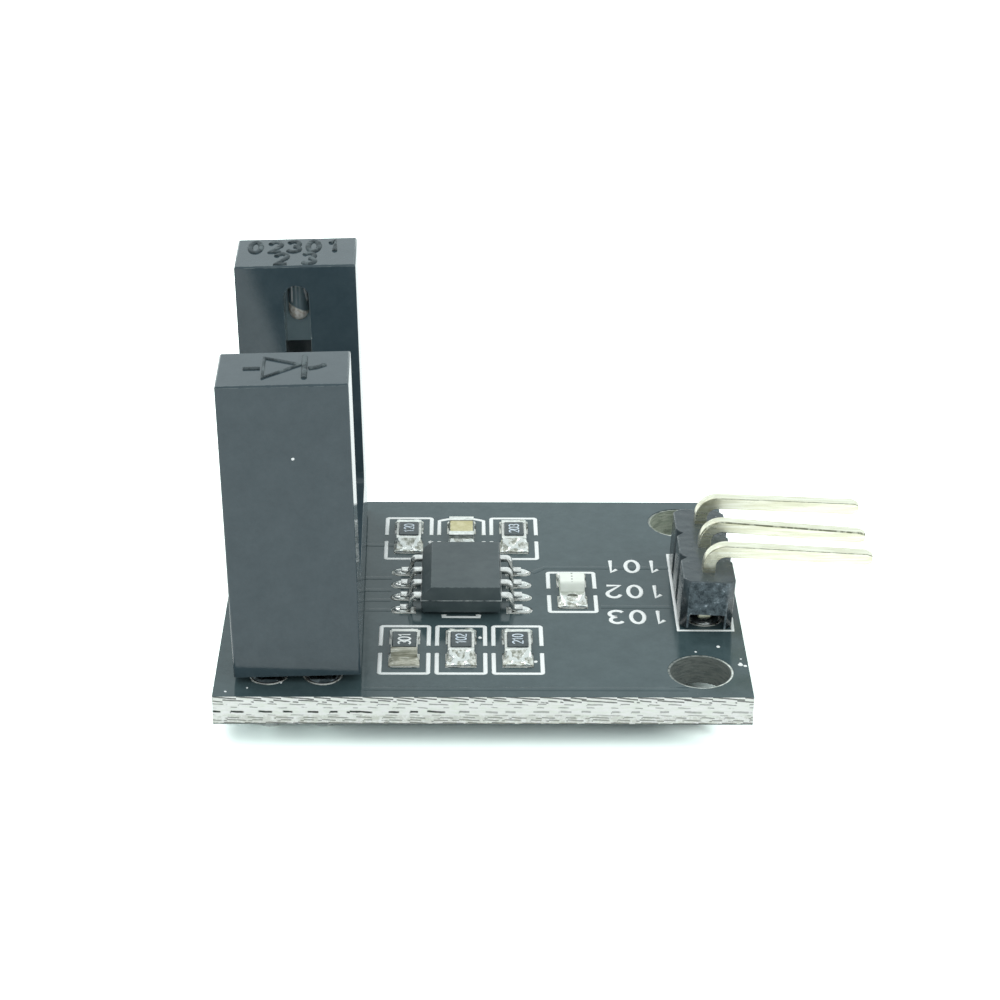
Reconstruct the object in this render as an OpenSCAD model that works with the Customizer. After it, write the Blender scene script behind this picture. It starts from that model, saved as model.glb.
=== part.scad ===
// Infrared slot sensor module: a tall fork-shaped light barrier soldered to a small black
// board with its comparator, chip parts, indicator light and a bent three-pin header.
// Left to right is X, front to back is Y and up is Z. The origin is midway between the two
// mounting holes, on the underside of the board.

/* [Board] */
// Length of the board, left to right
board_l = 25.0; // [24:0.1:36]
// Width of the board, front to back
board_w = 19.7; // [19.3:0.1:28]
// Thickness of the glass-fibre core
core_t = 1.44; // [0.8:0.02:2.4]
// Thickness of each layer of solder mask
mask_t = 0.03; // [0.02:0.005:0.06]
// Thickness of the tinned copper pads
pad_t = 0.05; // [0.03:0.005:0.09]
// Gap between a pad and the mask around it
mask_gap = 0.06; // [0.04:0.01:0.1]
// Distance from the middle of the board back to the middle of the circuit
circuit_shift = 0.15; // [0:0.05:0.3]

/* [Legend] */
// Thickness of the printed legend
legend_t = 0.02; // [0.01:0.005:0.04]
// Width of a legend line
legend_line = 0.2; // [0.12:0.01:0.24]
// Gap between the side of a chip part and its outline
outline_gap = 0.42; // [0.3:0.01:0.46]
// Gap between the end of a chip pad and its outline
outline_end_gap = 0.44; // [0.3:0.01:0.5]
// The same gap at the indicator light
led_outline_end_gap = 0.22; // [0.1:0.01:0.3]
// Distance that the outlines were printed in front of their parts
outline_shift = 0.07; // [0:0.01:0.1]
// Break in the long sides of an outline
outline_break = 0.7; // [0.4:0.05:1]
// Rise of the arched end of the capacitor's outline
arch_rise = 0.3; // [0.1:0.05:0.4]
// Width of the lines in front of the comparator and behind it
mark_w = 1.95; // [1.2:0.05:3]
// Length of the ticks at the ends of those lines
mark_tick = 0.32; // [0.26:0.02:0.5]
// Gap between the strip and the outline round it
strip_outline_gap = 0.15; // [0.05:0.01:0.2]
// Length of that outline's legs along the right edge of the board
strip_outline_leg = 1.3; // [0.5:0.1:2]

/* [Mounting holes] */
// Diameter of a mounting hole
hole_d = 2.85; // [2:0.05:3.3]
// Distance from the right edge to the hole centres
hole_from_right = 2.3; // [2:0.05:2.7]
// Distance from the front or back edge to a hole centre
hole_from_edge = 2.3; // [2:0.05:2.6]
// Width of the bare ring in the mask around a hole
hole_ring = 0.12; // [0.05:0.01:0.2]

/* [Slot sensor] */
// Distance from the left edge to the middle of the sensor
sensor_from_left = 3.75; // [3.4:0.05:4.1]
// Width of the sensor, left to right
sensor_w = 5.9; // [5.4:0.05:6.3]
// Height of the sensor above the board
sensor_h = 15.1; // [10:0.1:20]
// Thickness of a tower, front to back
tower_t = 3.67; // [3.5:0.01:3.9]
// Width of the slot between the towers
slot_gap = 10.3; // [6:0.1:10.8]
// Height of the bridge that joins the towers
bridge_h = 3.0; // [2:0.1:5]
// Radius of the inside bend between the bridge and a tower
bridge_r = 0.6; // [0.2:0.05:1]
// Chamfer round the top of a tower
top_edge = 0.08; // [0.04:0.01:0.3]
// Radius of the upright corners of a tower
corner_r = 0.12; // [0.05:0.01:0.4]
// Height of the standing pips under the bridge
foot_h = 0.3; // [0.25:0.01:0.6]
// Diameter of a standing pip
foot_d = 0.9; // [0.6:0.05:1.3]
// Distance of the pips' centres inside the sides and the slot faces
foot_inset = 0.9; // [0.7:0.05:1.2]
// Depth of the light beam below the top of the towers
beam_drop = 2.3; // [2.2:0.05:2.9]
// Width of the window facing the slot
window_w = 1.25; // [0.8:0.05:1.6]
// Distance from the top of the window to the top of its tower
window_top = 1.05; // [0.9:0.05:1.3]
// Wall between the top of a tower and its pocket
roof_t = 0.7; // [0.5:0.05:0.8]
// Wall behind the light package
back_t = 0.45; // [0.35:0.01:0.55]
// Turn of the sensor on the board, as it was soldered
sensor_yaw = 0.9; // [0:0.1:1.2]
// Lean of the sensor to the left, as it was soldered
sensor_lean = 1.3; // [0:0.1:1.6]

/* [Light packages] */
// Width of the emitter and detector packages
package_w = 4.3; // [3.6:0.05:4.4]
// Height of a package
package_h = 3.9; // [3.8:0.05:4.5]
// Thickness of a package
package_t = 1.5; // [1.3:0.05:1.55]
// Chamfer at the upper corners of a package
package_edge = 0.45; // [0.2:0.05:0.7]
// Radius of the round-ended lens
lens_r = 0.5; // [0.4:0.02:0.56]
// Length of the lens, upwards
lens_l = 2.4; // [1.6:0.05:2.5]
// Clearance of a package in its pocket
package_gap = 0.05; // [0.02:0.01:0.08]
// Width of a package lead, left to right
lead_w = 0.5; // [0.4:0.02:0.55]
// Thickness of a package lead, front to back
lead_t = 0.4; // [0.3:0.02:0.45]
// Distance from the outer face of a tower to its leads
lead_inset = 0.75; // [0.7:0.01:0.9]

/* [Plated holes] */
// Spacing of leads and of header pins
pitch = 2.54; // [2.5:0.01:2.56]
// Inside diameter of the plated sensor holes
sensor_hole_d = 1.2; // [1.1:0.02:1.3]
// Inside diameter of the plated header holes
header_hole_d = 1.1; // [1.04:0.02:1.2]
// Outside diameter of the round pads
round_pad_d = 1.75; // [1.6:0.05:1.9]
// Thickness of the plating in a hole
plating_t = 0.03; // [0.02:0.005:0.05]
// Length of the trimmed leads and pins below the board
tail_l = 1.2; // [0.8:0.05:2]
// Height of the solder cone below the board
cone_h = 0.95; // [0.6:0.05:1.1]
// Height of the solder on the top of the board
top_cone_h = 0.18; // [0.1:0.01:0.22]
// Bare rim of a round pad outside that solder
pad_rim = 0.1; // [0.05:0.01:0.12]

/* [Comparator] */
// Distance from the left edge to the middle of the comparator
comparator_from_left = 11.46; // [11.2:0.02:11.8]
// Width of its body, left to right
comparator_w = 3.9; // [3.8:0.02:4]
// Length of its body, front to back
comparator_l = 4.9; // [4.8:0.02:5]
// Thickness of its body
comparator_t = 1.4; // [1.2:0.05:1.6]
// Gap between its body and the pads
comparator_lift = 0.1; // [0.05:0.01:0.2]
// Draft of its sides, in degrees
comparator_draft = 7; // [3:1:12]
// Width of the bevel along its first side
comparator_bevel = 0.4; // [0.1:0.05:0.5]
// Span over the tips of its leads
comparator_span = 6.0; // [5.9:0.02:6.2]
// Spacing of its leads
comparator_pitch = 1.27; // [1.25:0.01:1.28]
// Width of one of its leads
gull_w = 0.42; // [0.35:0.01:0.48]
// Thickness of one of its leads
gull_t = 0.2; // [0.15:0.01:0.25]
// Inside radius of the bends in its leads
gull_r = 0.12; // [0.08:0.01:0.15]
// Width that a pad has beside its lead, on each side
gull_pad_side = 0.09; // [0.05:0.01:0.12]
// Length of a round-ended pad under a lead
gull_pad_l = 1.15; // [1:0.05:1.4]
// Distance that the pad runs past the tip of its lead
gull_pad_toe = 0.42; // [0.36:0.02:0.5]

/* [Chip parts] */
// Length of a chip part, front to back
chip_l = 2.0; // [1.9:0.02:2.1]
// Width of a chip part, left to right
chip_w = 1.25; // [1.15:0.01:1.3]
// Thickness of a chip resistor
resistor_t = 0.5; // [0.4:0.02:0.6]
// Thickness of the black glaze on a resistor
glaze_t = 0.04; // [0.02:0.01:0.08]
// Bare ceramic beside the glaze of the first resistor, on each side
first_glaze_side = 0.04; // [0.02:0.01:0.1]
// Bare ceramic beside the glaze of the other resistors, on each side
glaze_side = 0.12; // [0.05:0.01:0.2]
// Length of the metal band at each end of a resistor
band_l = 0.3; // [0.2:0.02:0.5]
// Thickness of the metal bands
band_t = 0.04; // [0.02:0.01:0.06]
// Thickness of the chip capacitor
capacitor_t = 0.7; // [0.6:0.05:1.1]
// Length of the metal cap at each end of the capacitor
capacitor_band_l = 0.4; // [0.25:0.01:0.5]
// Thickness of the base of the indicator light
led_base_t = 0.3; // [0.2:0.02:0.4]
// Length of the metal band at each end of the indicator light
led_band_l = 0.42; // [0.3:0.02:0.5]
// Radius of the half holes at the ends of the indicator light
led_notch_r = 0.25; // [0.15:0.01:0.3]
// Height of the lens of the indicator light
led_lens_t = 0.5; // [0.3:0.02:0.7]
// Length that the lens covers of each metal band
led_lens_lap = 0.05; // [0.02:0.01:0.1]
// Distance of the lens inside the long sides of the base
led_lens_side = 0.02; // [0.01:0.01:0.1]
// Distance that the ends of the lens lean in
led_lens_draw = 0.1; // [0.04:0.01:0.2]
// Chamfer along the upper edges of the lens
led_lens_edge = 0.08; // [0.03:0.01:0.15]
// Spacing of the chip parts, left to right
chip_step = 2.69; // [2.62:0.01:2.8]
// Distance from the circuit's middle to the front and back rows
row_shift = 5.65; // [5.55:0.05:5.8]
// Distance from the comparator's middle to the indicator light's
led_shift = 5.47; // [5.3:0.01:5.6]
// Distance that a chip pad runs past the part's end
chip_toe = 0.68; // [0.4:0.02:0.7]
// Length of a chip pad under its part
chip_pad_under = 0.52; // [0.5:0.02:0.7]
// Width that a chip pad has beside its part, on each side
chip_pad_side = 0.05; // [0.02:0.01:0.1]

/* [Pin header] */
// Distance from the right edge to the pins
header_from_right = 1.75; // [1.6:0.05:2]
// Width and height of the moulded strip
strip_w = 2.54; // [2.4:0.02:2.6]
// Depth of the notches between the pins
strip_notch = 0.35; // [0.15:0.05:0.5]
// Height of the channel under the strip
channel_h = 0.75; // [0.3:0.05:1]
// Width of the channel under the strip
channel_w = 1.7; // [1.3:0.05:1.8]
// Width of a square pin
pin_w = 0.6; // [0.5:0.02:0.66]
// Height of the top of the bent pins above the board
pin_top = 4.0; // [3.8:0.05:5]
// Reach of the bent pins from the strip's middle
pin_reach = 7.8; // [5:0.1:11]
// Inside radius of the bend in a pin
pin_bend_r = 0.5; // [0.4:0.05:0.6]
// Length of the chamfer at a pin's tip
pin_tip = 0.3; // [0.15:0.05:0.5]
// Lean of the header to the right, as it was soldered
header_lean = 2.7; // [0:0.1:3]
// Further droop of the front, middle and back pins, in degrees
pin_droop = [0.7, 2.1, -0.3];

/* [Hidden] */
$fn = 48;

// Levels of the board's layers, upwards from its underside
core_z = mask_t;
core_top = core_z + core_t;
face_z = core_top + mask_t;
pad_z = core_top + pad_t;
under_pad_z = core_z - pad_t;

// Places on the board, from its front left corner
circuit_y = board_w / 2 + circuit_shift;
hole_x = board_l - hole_from_right;
hole_ys = [hole_from_edge, board_w - hole_from_edge];
sensor_len = slot_gap + 2 * tower_t;
lead_span = sensor_len - 2 * lead_inset;
comparator_x = comparator_from_left;
header_x = board_l - header_from_right;
header_len = 3 * pitch;

// The seven chip parts: five resistors, the capacitor and the indicator light
resistor_spots = [
    [comparator_x - chip_step, circuit_y - row_shift],
    [comparator_x, circuit_y - row_shift],
    [comparator_x + chip_step, circuit_y - row_shift],
    [comparator_x - chip_step, circuit_y + row_shift],
    [comparator_x + chip_step, circuit_y + row_shift]
];
capacitor_spot = [comparator_x, circuit_y + row_shift];
led_spot = [comparator_x + led_shift, circuit_y];
chip_spots = concat(resistor_spots, [capacitor_spot, led_spot]);

// Pads under the chip parts and under the comparator's leads
chip_pad_w = chip_w + 2 * chip_pad_side;
chip_pad_l = chip_pad_under + chip_toe;
chip_pad_y = chip_l / 2 + chip_toe - chip_pad_l / 2;
gull_pad_w = gull_w + 2 * gull_pad_side;
gull_pad_end = comparator_span / 2 + gull_pad_toe;

// Pocket for a light package, the groove for its lens, and how far cuts run out of a piece
pocket_w = package_w + 2 * package_gap;
pocket_t = package_t + 2 * package_gap;
groove_w = 2 * (lens_r + package_gap);
side_clear = 0.6;

// A gull-wing lead inside the body, its slope in degrees, and its level start outside
gull_root = 0.35;
gull_angle = 82;
gull_flat = 0.28;

// Solder: the share of an end's height that it climbs, and its thickness where it runs out
solder_climb = 0.85;
solder_rim = 0.05;

// Bends of leads and pins, and the share of a pin's width left at its tip
arc_step = 7.5;
pin_point = 0.62;

// Outlines around the chip parts
outline_w = chip_w + 2 * (outline_gap + legend_line);
chip_outline_l = chip_l + 2 * (chip_toe + outline_end_gap + legend_line);
led_outline_l = chip_l + 2 * (chip_toe + led_outline_end_gap + legend_line);

// Puts a piece in the row's frame, from the board's front left corner
module at_board() {
    translate([-hole_x, -board_w / 2, 0]) children();
}

// Carries a piece of the slot sensor: turned and leaned on its left-hand pips
module at_sensor() {
    at_board()
        translate([sensor_from_left, circuit_y, face_z])
            rotate([0, 0, sensor_yaw])
                translate([-sensor_w / 2, 0, 0])
                    rotate([0, -sensor_lean, 0])
                        translate([sensor_w / 2, 0, 0]) children();
}

// Carries a piece of the header: leaned over its right-hand bottom edge
module at_header() {
    at_board()
        translate([header_x + strip_w / 2, circuit_y, pad_z])
            rotate([0, header_lean, 0])
                translate([-strip_w / 2, 0, 0]) children();
}

// Carries a piece of a chip part at one of the chip spots
module at_chip(spot) {
    at_board() translate([spot[0], spot[1], pad_z]) children();
}

// Carries a piece of the comparator
module at_comparator() {
    at_board() translate([comparator_x, circuit_y, pad_z]) children();
}

// A box standing on Z = 0 and centred on the Z axis
module block(x, y, z) {
    translate([-x / 2, -y / 2, 0]) cube([x, y, z]);
}

// A rectangle with true round corners, centred
module rounded_plate(x, y, r) {
    square([x - 2 * r, y], center = true);
    square([x, y - 2 * r], center = true);
    for (i = [-1, 1], j = [-1, 1]) {
        translate([i * (x / 2 - r), j * (y / 2 - r)]) circle(r);
    }
}

// One edge of a bent bar in its bending plane, d to the left of the middle line. A step is
// [length, angle, radius of the middle line], and a positive angle bends the bar downwards.
// The last step ends in a taper of the given length.
function bar_edge(steps, d, taper, i = 0, x = 0, z = 0, a = 0) =
    let (
        run = steps[i][0],
        turn = steps[i][1],
        way = turn < 0 ? -1 : 1,
        r = steps[i][2] * way,
        x1 = x + run * cos(a),
        z1 = z + run * sin(a),
        cx = x1 + r * sin(a),
        cz = z1 - r * cos(a),
        count = ceil(abs(turn) / arc_step),
        begin = i == 0 ? [[x - d * sin(a), z + d * cos(a)]] : []
    )
    turn == 0
        ? concat(begin, [
            [x1 - taper * cos(a) - d * sin(a), z1 - taper * sin(a) + d * cos(a)],
            if (taper > 0) [x1 - pin_point * d * sin(a), z1 + pin_point * d * cos(a)]
        ])
        : concat(
            begin,
            [for (k = [0:count]) let (b = a - turn * k / count)
                [cx - (r + d) * sin(b), cz + (r + d) * cos(b)]],
            bar_edge(steps, d, taper, i + 1, cx - r * sin(a - turn), cz + r * cos(a - turn), a - turn)
        );

// A bar of flat strip that starts along +X, w wide along Y and t thick, and bent by its steps
module bent_bar(w, t, steps, taper = 0) {
    left = bar_edge(steps, t / 2, taper);
    right = bar_edge(steps, -t / 2, taper);
    back = [for (k = [len(right) - 1:-1:0]) right[k]];
    translate([0, w / 2, 0]) rotate([90, 0, 0]) linear_extrude(w) polygon(concat(left, back));
}

// Cuts leads and pins off level below the board
module trimmed() {
    reach = board_l + pin_reach;
    intersection() {
        children();
        translate([-hole_x - reach, -board_w, -tail_l])
            cube([2 * reach + board_l, 2 * board_w, 2 * sensor_h + tail_l]);
    }
}

// Outline of the board with its two mounting holes, in the board's own plane
module board_outline(extra) {
    difference() {
        square([board_l, board_w]);
        for (y = hole_ys) {
            translate([hole_x, y]) circle(d = hole_d + 2 * extra);
        }
    }
}

// Centres of the sensor's and the header's plated holes
module at_sensor_holes() {
    for (i = [-1, 1], j = [-1, 1]) {
        translate([sensor_from_left + i * pitch / 2, circuit_y + j * lead_span / 2]) children();
    }
}

module at_header_holes() {
    for (k = [-1:1]) {
        translate([header_x, circuit_y + k * pitch]) children();
    }
}

// Pads of the chip parts and of the comparator, each grown all round
module chip_pad_shapes(grow) {
    for (spot = chip_spots, side = [-1, 1]) {
        translate([spot[0], spot[1] + side * chip_pad_y])
            square([chip_pad_w + 2 * grow, chip_pad_l + 2 * grow], center = true);
    }
}

module comparator_pad_shapes(grow) {
    w = gull_pad_w + 2 * grow;
    straight = gull_pad_l + 2 * grow - w / 2;
    for (side = [-1, 1], k = [0:3]) {
        translate([comparator_x, circuit_y + (k - 1.5) * comparator_pitch])
            mirror([side < 0 ? 1 : 0, 0])
                translate([gull_pad_end + grow - w / 2, 0]) {
                    translate([-straight, -w / 2]) square([straight, w]);
                    circle(d = w);
                }
    }
}

// The glass-fibre core, drilled for the platings
module board() {
    color([0.86, 0.85, 0.74])
        at_board()
            translate([0, 0, core_z])
                linear_extrude(core_t)
                    difference() {
                        board_outline(0);
                        at_sensor_holes() circle(d = sensor_hole_d + 2 * plating_t);
                        at_header_holes() circle(d = header_hole_d + 2 * plating_t);
                    }
}

// A layer of black mask, open at the pads
module mask(z, top) {
    color([0.07, 0.08, 0.08])
        at_board()
            translate([0, 0, z])
                linear_extrude(mask_t)
                    difference() {
                        board_outline(hole_ring);
                        at_sensor_holes() circle(d = round_pad_d + 2 * mask_gap);
                        at_header_holes() circle(d = round_pad_d + 2 * mask_gap);
                        if (top) {
                            chip_pad_shapes(mask_gap);
                            comparator_pad_shapes(mask_gap);
                        }
                    }
}

module mask_top() {
    mask(core_top, true);
}

module mask_bottom() {
    mask(0, false);
}

// The front half of a chip part's outline: a line across, and two legs up to the break
module outline_half(l) {
    leg = (l - outline_break) / 2;
    translate([-outline_w / 2, -l / 2]) square([outline_w, legend_line]);
    for (x = [-outline_w / 2, outline_w / 2 - legend_line]) {
        translate([x, -l / 2]) square([legend_line, leg]);
    }
}

// Both halves, printed a little in front of the part at the spot
module chip_outline(spot, l) {
    translate([spot[0], spot[1] - outline_shift]) {
        outline_half(l);
        mirror([0, 1]) outline_half(l);
    }
}

// The back half of the capacitor's outline, whose line across is arched
module arched_half(l) {
    leg = (l - outline_break) / 2;
    r = (outline_w * outline_w / 4 + arch_rise * arch_rise) / (2 * arch_rise);
    intersection() {
        translate([-outline_w / 2, l / 2 - arch_rise - legend_line])
            square([outline_w, arch_rise + legend_line]);
        translate([0, l / 2 - r])
            difference() {
                circle(r);
                circle(r - legend_line);
            }
    }
    for (x = [-outline_w / 2, outline_w / 2 - legend_line]) {
        translate([x, l / 2 - leg]) square([legend_line, leg - arch_rise]);
    }
}

// Outline round the strip, open along the board's right edge
module strip_outline() {
    w = strip_w + 2 * strip_outline_gap;
    l = header_len + 2 * strip_outline_gap;
    leg = strip_outline_leg;
    translate([-w / 2, -l / 2]) square([legend_line, l]);
    for (side = [-1, 1]) {
        y = side * (l / 2 - legend_line / 2);
        translate([-w / 2, y - legend_line / 2]) square([w, legend_line]);
        translate([w / 2 - legend_line, side > 0 ? l / 2 - leg : -l / 2]) square([legend_line, leg]);
    }
}

// Line with short end ticks in front of the comparator
module comparator_mark() {
    front = -comparator_l / 2 - legend_line;
    translate([-mark_w / 2, front]) square([mark_w, legend_line]);
    for (x = [-mark_w / 2, mark_w / 2 - legend_line]) {
        translate([x, front]) square([legend_line, mark_tick]);
    }
}

module legend() {
    color([0.93, 0.95, 0.94])
        at_board()
            translate([0, 0, face_z])
                linear_extrude(legend_t) {
                    for (spot = resistor_spots) {
                        chip_outline(spot, chip_outline_l);
                    }
                    chip_outline(led_spot, led_outline_l);
                    translate([capacitor_spot[0], capacitor_spot[1] - outline_shift]) {
                        outline_half(chip_outline_l);
                        arched_half(chip_outline_l);
                    }
                    translate([comparator_x, circuit_y]) {
                        comparator_mark();
                        mirror([0, 1]) comparator_mark();
                    }
                    translate([header_x, circuit_y]) strip_outline();
                }
}

module chip_pads() {
    color([0.8, 0.8, 0.78])
        at_board() translate([0, 0, core_top]) linear_extrude(pad_t) chip_pad_shapes(0);
}

module comparator_pads() {
    color([0.8, 0.8, 0.78])
        at_board() translate([0, 0, core_top]) linear_extrude(pad_t) comparator_pad_shapes(0);
}

// A plated hole: a pad on each face, joined by the plating through the board
module plated_hole(d) {
    difference() {
        union() {
            translate([0, 0, core_top]) cylinder(d = round_pad_d, h = pad_t);
            translate([0, 0, under_pad_z]) cylinder(d = round_pad_d, h = pad_t);
            translate([0, 0, core_z]) cylinder(d = d + 2 * plating_t, h = core_t);
        }
        translate([0, 0, -board_l]) cylinder(d = d, h = 2 * board_l);
    }
}

module sensor_platings() {
    color([0.8, 0.8, 0.78]) at_board() at_sensor_holes() plated_hole(sensor_hole_d);
}

module header_platings() {
    color([0.8, 0.8, 0.78]) at_board() at_header_holes() plated_hole(header_hole_d);
}

// Side outline of the fork, front to back across and height up
module fork_outline() {
    half = sensor_len / 2;
    c = top_edge;
    polygon([
        [-half, foot_h], [half, foot_h], [half, sensor_h - c], [half - c, sensor_h],
        [slot_gap / 2 + c, sensor_h], [slot_gap / 2, sensor_h - c],
        [slot_gap / 2, foot_h + bridge_h], [-slot_gap / 2, foot_h + bridge_h],
        [-slot_gap / 2, sensor_h - c], [-slot_gap / 2 - c, sensor_h],
        [-half + c, sensor_h], [-half, sensor_h - c]
    ]);
    for (side = [-1, 1]) {
        mirror([side < 0 ? 1 : 0, 0])
            translate([slot_gap / 2 - bridge_r, foot_h + bridge_h])
                difference() {
                    square(bridge_r);
                    translate([0, bridge_r]) circle(bridge_r);
                }
    }
}

// Front outline of the fork, with its top edges taken off
module tower_outline() {
    half = sensor_w / 2;
    c = top_edge;
    polygon([
        [-half, foot_h], [half, foot_h], [half, sensor_h - c],
        [half - c, sensor_h], [-half + c, sensor_h], [-half, sensor_h - c]
    ]);
}

// What is cored out of one tower, with its outer face at Y = 0 and the slot towards +Y: a
// pocket for the package, a groove for its lens, and a round-headed window to the slot
module tower_hollow() {
    pocket_top = sensor_h - roof_t;
    floor_z = foot_h + bridge_h;
    low = -foot_h;
    head_z = sensor_h - window_top - window_w / 2;
    translate([-pocket_w / 2, back_t, low]) cube([pocket_w, pocket_t, pocket_top - low]);
    translate([-groove_w / 2, back_t + pocket_t, floor_z])
        cube([groove_w, lens_r + package_gap, pocket_top - floor_z]);
    translate([0, tower_t + side_clear, 0])
        rotate([90, 0, 0])
            linear_extrude(tower_t + side_clear - back_t - pocket_t) {
                translate([-window_w / 2, floor_z + side_clear])
                    square([window_w, head_z - floor_z - side_clear]);
                translate([0, head_z]) circle(d = window_w);
            }
}

// The moulded housing: two hollow towers on one bridge, standing on four pips
module sensor_housing() {
    color([0.09, 0.1, 0.1])
        at_sensor() {
            difference() {
                intersection() {
                    linear_extrude(sensor_h) rounded_plate(sensor_w, sensor_len, corner_r);
                    translate([-sensor_w / 2, 0, 0])
                        rotate([90, 0, 90]) linear_extrude(sensor_w) fork_outline();
                    translate([0, sensor_len / 2, 0])
                        rotate([90, 0, 0]) linear_extrude(sensor_len) tower_outline();
                }
                for (turn = [0, 180]) {
                    rotate([0, 0, turn]) translate([0, -sensor_len / 2, 0]) tower_hollow();
                }
            }
            for (i = [-1, 1], j = [-1, 1]) {
                translate([i * (sensor_w / 2 - foot_inset), j * (slot_gap / 2 - foot_inset), 0])
                    cylinder(d = foot_d, h = foot_h);
            }
        }
}

// A side-looking package: a chamfered block with its lens towards +Y, its back at Y = 0
module light_package() {
    top = sensor_h - roof_t - package_gap;
    c = package_edge;
    straight = lens_l - 2 * lens_r;
    translate([0, package_t, 0])
        rotate([90, 0, 0])
            linear_extrude(package_t)
                polygon([
                    [-package_w / 2, top - package_h], [package_w / 2, top - package_h],
                    [package_w / 2, top - c], [package_w / 2 - c, top],
                    [-package_w / 2 + c, top], [-package_w / 2, top - c]
                ]);
    translate([0, package_t, sensor_h - beam_drop]) {
        translate([0, 0, -straight / 2]) cylinder(r = lens_r, h = straight);
        for (side = [-1, 1]) {
            translate([0, 0, side * straight / 2]) sphere(lens_r);
        }
    }
}

module emitter() {
    color([0.75, 0.78, 0.8])
        at_sensor() translate([0, -sensor_len / 2 + back_t + package_gap, 0]) light_package();
}

module detector() {
    color([0.16, 0.13, 0.16])
        at_sensor()
            rotate([0, 0, 180])
                translate([0, -sensor_len / 2 + back_t + package_gap, 0]) light_package();
}

// One straight lead, from its package down through the board
module sensor_lead_bar(i, j) {
    top = sensor_h - roof_t - package_gap - package_h;
    low = -face_z - tail_l - side_clear;
    translate([i * pitch / 2 - lead_w / 2, j * lead_span / 2 - lead_t / 2, low])
        cube([lead_w, lead_t, top - low]);
}

module sensor_lead(i, j) {
    color([0.78, 0.77, 0.73]) trimmed() at_sensor() sensor_lead_bar(i, j);
}

// A solder joint in a plated hole: filled, with a hollow-sided cone below and a low one above
module joint(d) {
    r_tip = d / 2;
    flare = round_pad_d / 2 - r_tip;
    rise = cone_h - solder_rim;
    r_side = (flare * flare + rise * rise) / (2 * flare);
    low = under_pad_z - cone_h;
    translate([0, 0, under_pad_z]) cylinder(d = d, h = pad_z - under_pad_z);
    translate([0, 0, pad_z]) cylinder(r1 = r_tip + flare - pad_rim, r2 = r_tip, h = top_cone_h);
    rotate_extrude() {
        difference() {
            translate([0, low]) square([r_tip + flare, cone_h]);
            translate([r_tip + r_side, low]) circle(r_side);
        }
    }
}

module sensor_solder() {
    color([0.74, 0.75, 0.76])
        difference() {
            at_board() at_sensor_holes() joint(sensor_hole_d);
            at_sensor() {
                for (i = [-1, 1], j = [-1, 1]) {
                    sensor_lead_bar(i, j);
                }
            }
        }
}

// The comparator's moulded body, drafted both ways from its parting line
module comparator_block() {
    mid = comparator_lift + comparator_t / 2;
    top = comparator_lift + comparator_t;
    draw = comparator_t / 2 * tan(comparator_draft);
    w = comparator_w / 2;
    l = comparator_l / 2;
    b = comparator_bevel;
    bevel_in = draw * (1 - 2 * b / comparator_t);
    intersection() {
        translate([0, l, 0])
            rotate([90, 0, 0])
                linear_extrude(comparator_l)
                    polygon([
                        [-w + draw, comparator_lift], [w - draw, comparator_lift], [w, mid],
                        [w - draw, top], [-w + draw + b, top], [-w + bevel_in, top - b], [-w, mid]
                    ]);
        translate([-w, 0, 0])
            rotate([90, 0, 90])
                linear_extrude(comparator_w)
                    polygon([
                        [-l + draw, comparator_lift], [l - draw, comparator_lift], [l, mid],
                        [l - draw, top], [-l + draw, top], [-l, mid]
                    ]);
    }
}

// One gull-wing lead: its root in the body, two bends and a foot on the pad
module gull_lead(side, k) {
    z = comparator_lift + comparator_t / 2;
    r = gull_r + gull_t / 2;
    drop = z - gull_t / 2;
    slope = (drop - 2 * r * (1 - cos(gull_angle))) / sin(gull_angle);
    used = gull_flat + 2 * r * sin(gull_angle) + slope * cos(gull_angle);
    foot = (comparator_span - comparator_w) / 2 - used;
    mirror([side < 0 ? 1 : 0, 0, 0])
        translate([comparator_w / 2 - gull_root, (k - 1.5) * comparator_pitch, z])
            bent_bar(gull_w, gull_t, [
                [gull_root + gull_flat, gull_angle, r],
                [slope, -gull_angle, r],
                [foot, 0, 0]
            ]);
}

module comparator_body() {
    z = comparator_lift + comparator_t / 2 - gull_t / 2;
    color([0.1, 0.11, 0.11])
        at_comparator()
            difference() {
                comparator_block();
                for (side = [-1, 1], k = [0:3]) {
                    mirror([side < 0 ? 1 : 0, 0, 0])
                        translate([comparator_w / 2 - gull_root,
                                   (k - 1.5) * comparator_pitch - gull_w / 2, z])
                            cube([gull_root + side_clear, gull_w, gull_t]);
                }
            }
}

module comparator_lead(side, k) {
    color([0.8, 0.8, 0.79]) at_comparator() gull_lead(side, k);
}

// Solder at the toe of a gull-wing lead, which covers the round end of its pad
module comparator_solder() {
    h = gull_t * solder_climb;
    straight = gull_pad_toe - gull_pad_w / 2;
    color([0.74, 0.75, 0.76])
        at_comparator()
            for (side = [-1, 1], k = [0:3]) {
                mirror([side < 0 ? 1 : 0, 0, 0])
                    translate([comparator_span / 2, (k - 1.5) * comparator_pitch, 0])
                        intersection() {
                            linear_extrude(h) {
                                translate([0, -gull_pad_w / 2]) square([straight, gull_pad_w]);
                                translate([straight, 0]) circle(d = gull_pad_w);
                            }
                            translate([0, gull_pad_w / 2, 0])
                                rotate([90, 0, 0])
                                    linear_extrude(gull_pad_w) fillet_outline(gull_pad_toe, h);
                        }
            }
}

// Outline of a hollow fillet from height h at X = 0 down to its rim at X = l
module fillet_outline(l, h) {
    drop = h - solder_rim;
    r = sqrt(l * l + drop * drop);
    back = r * sin(60);
    difference() {
        square([l, h]);
        translate([l / 2 + back * drop / r, solder_rim + drop / 2 + back * l / r]) circle(r);
    }
}

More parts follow.
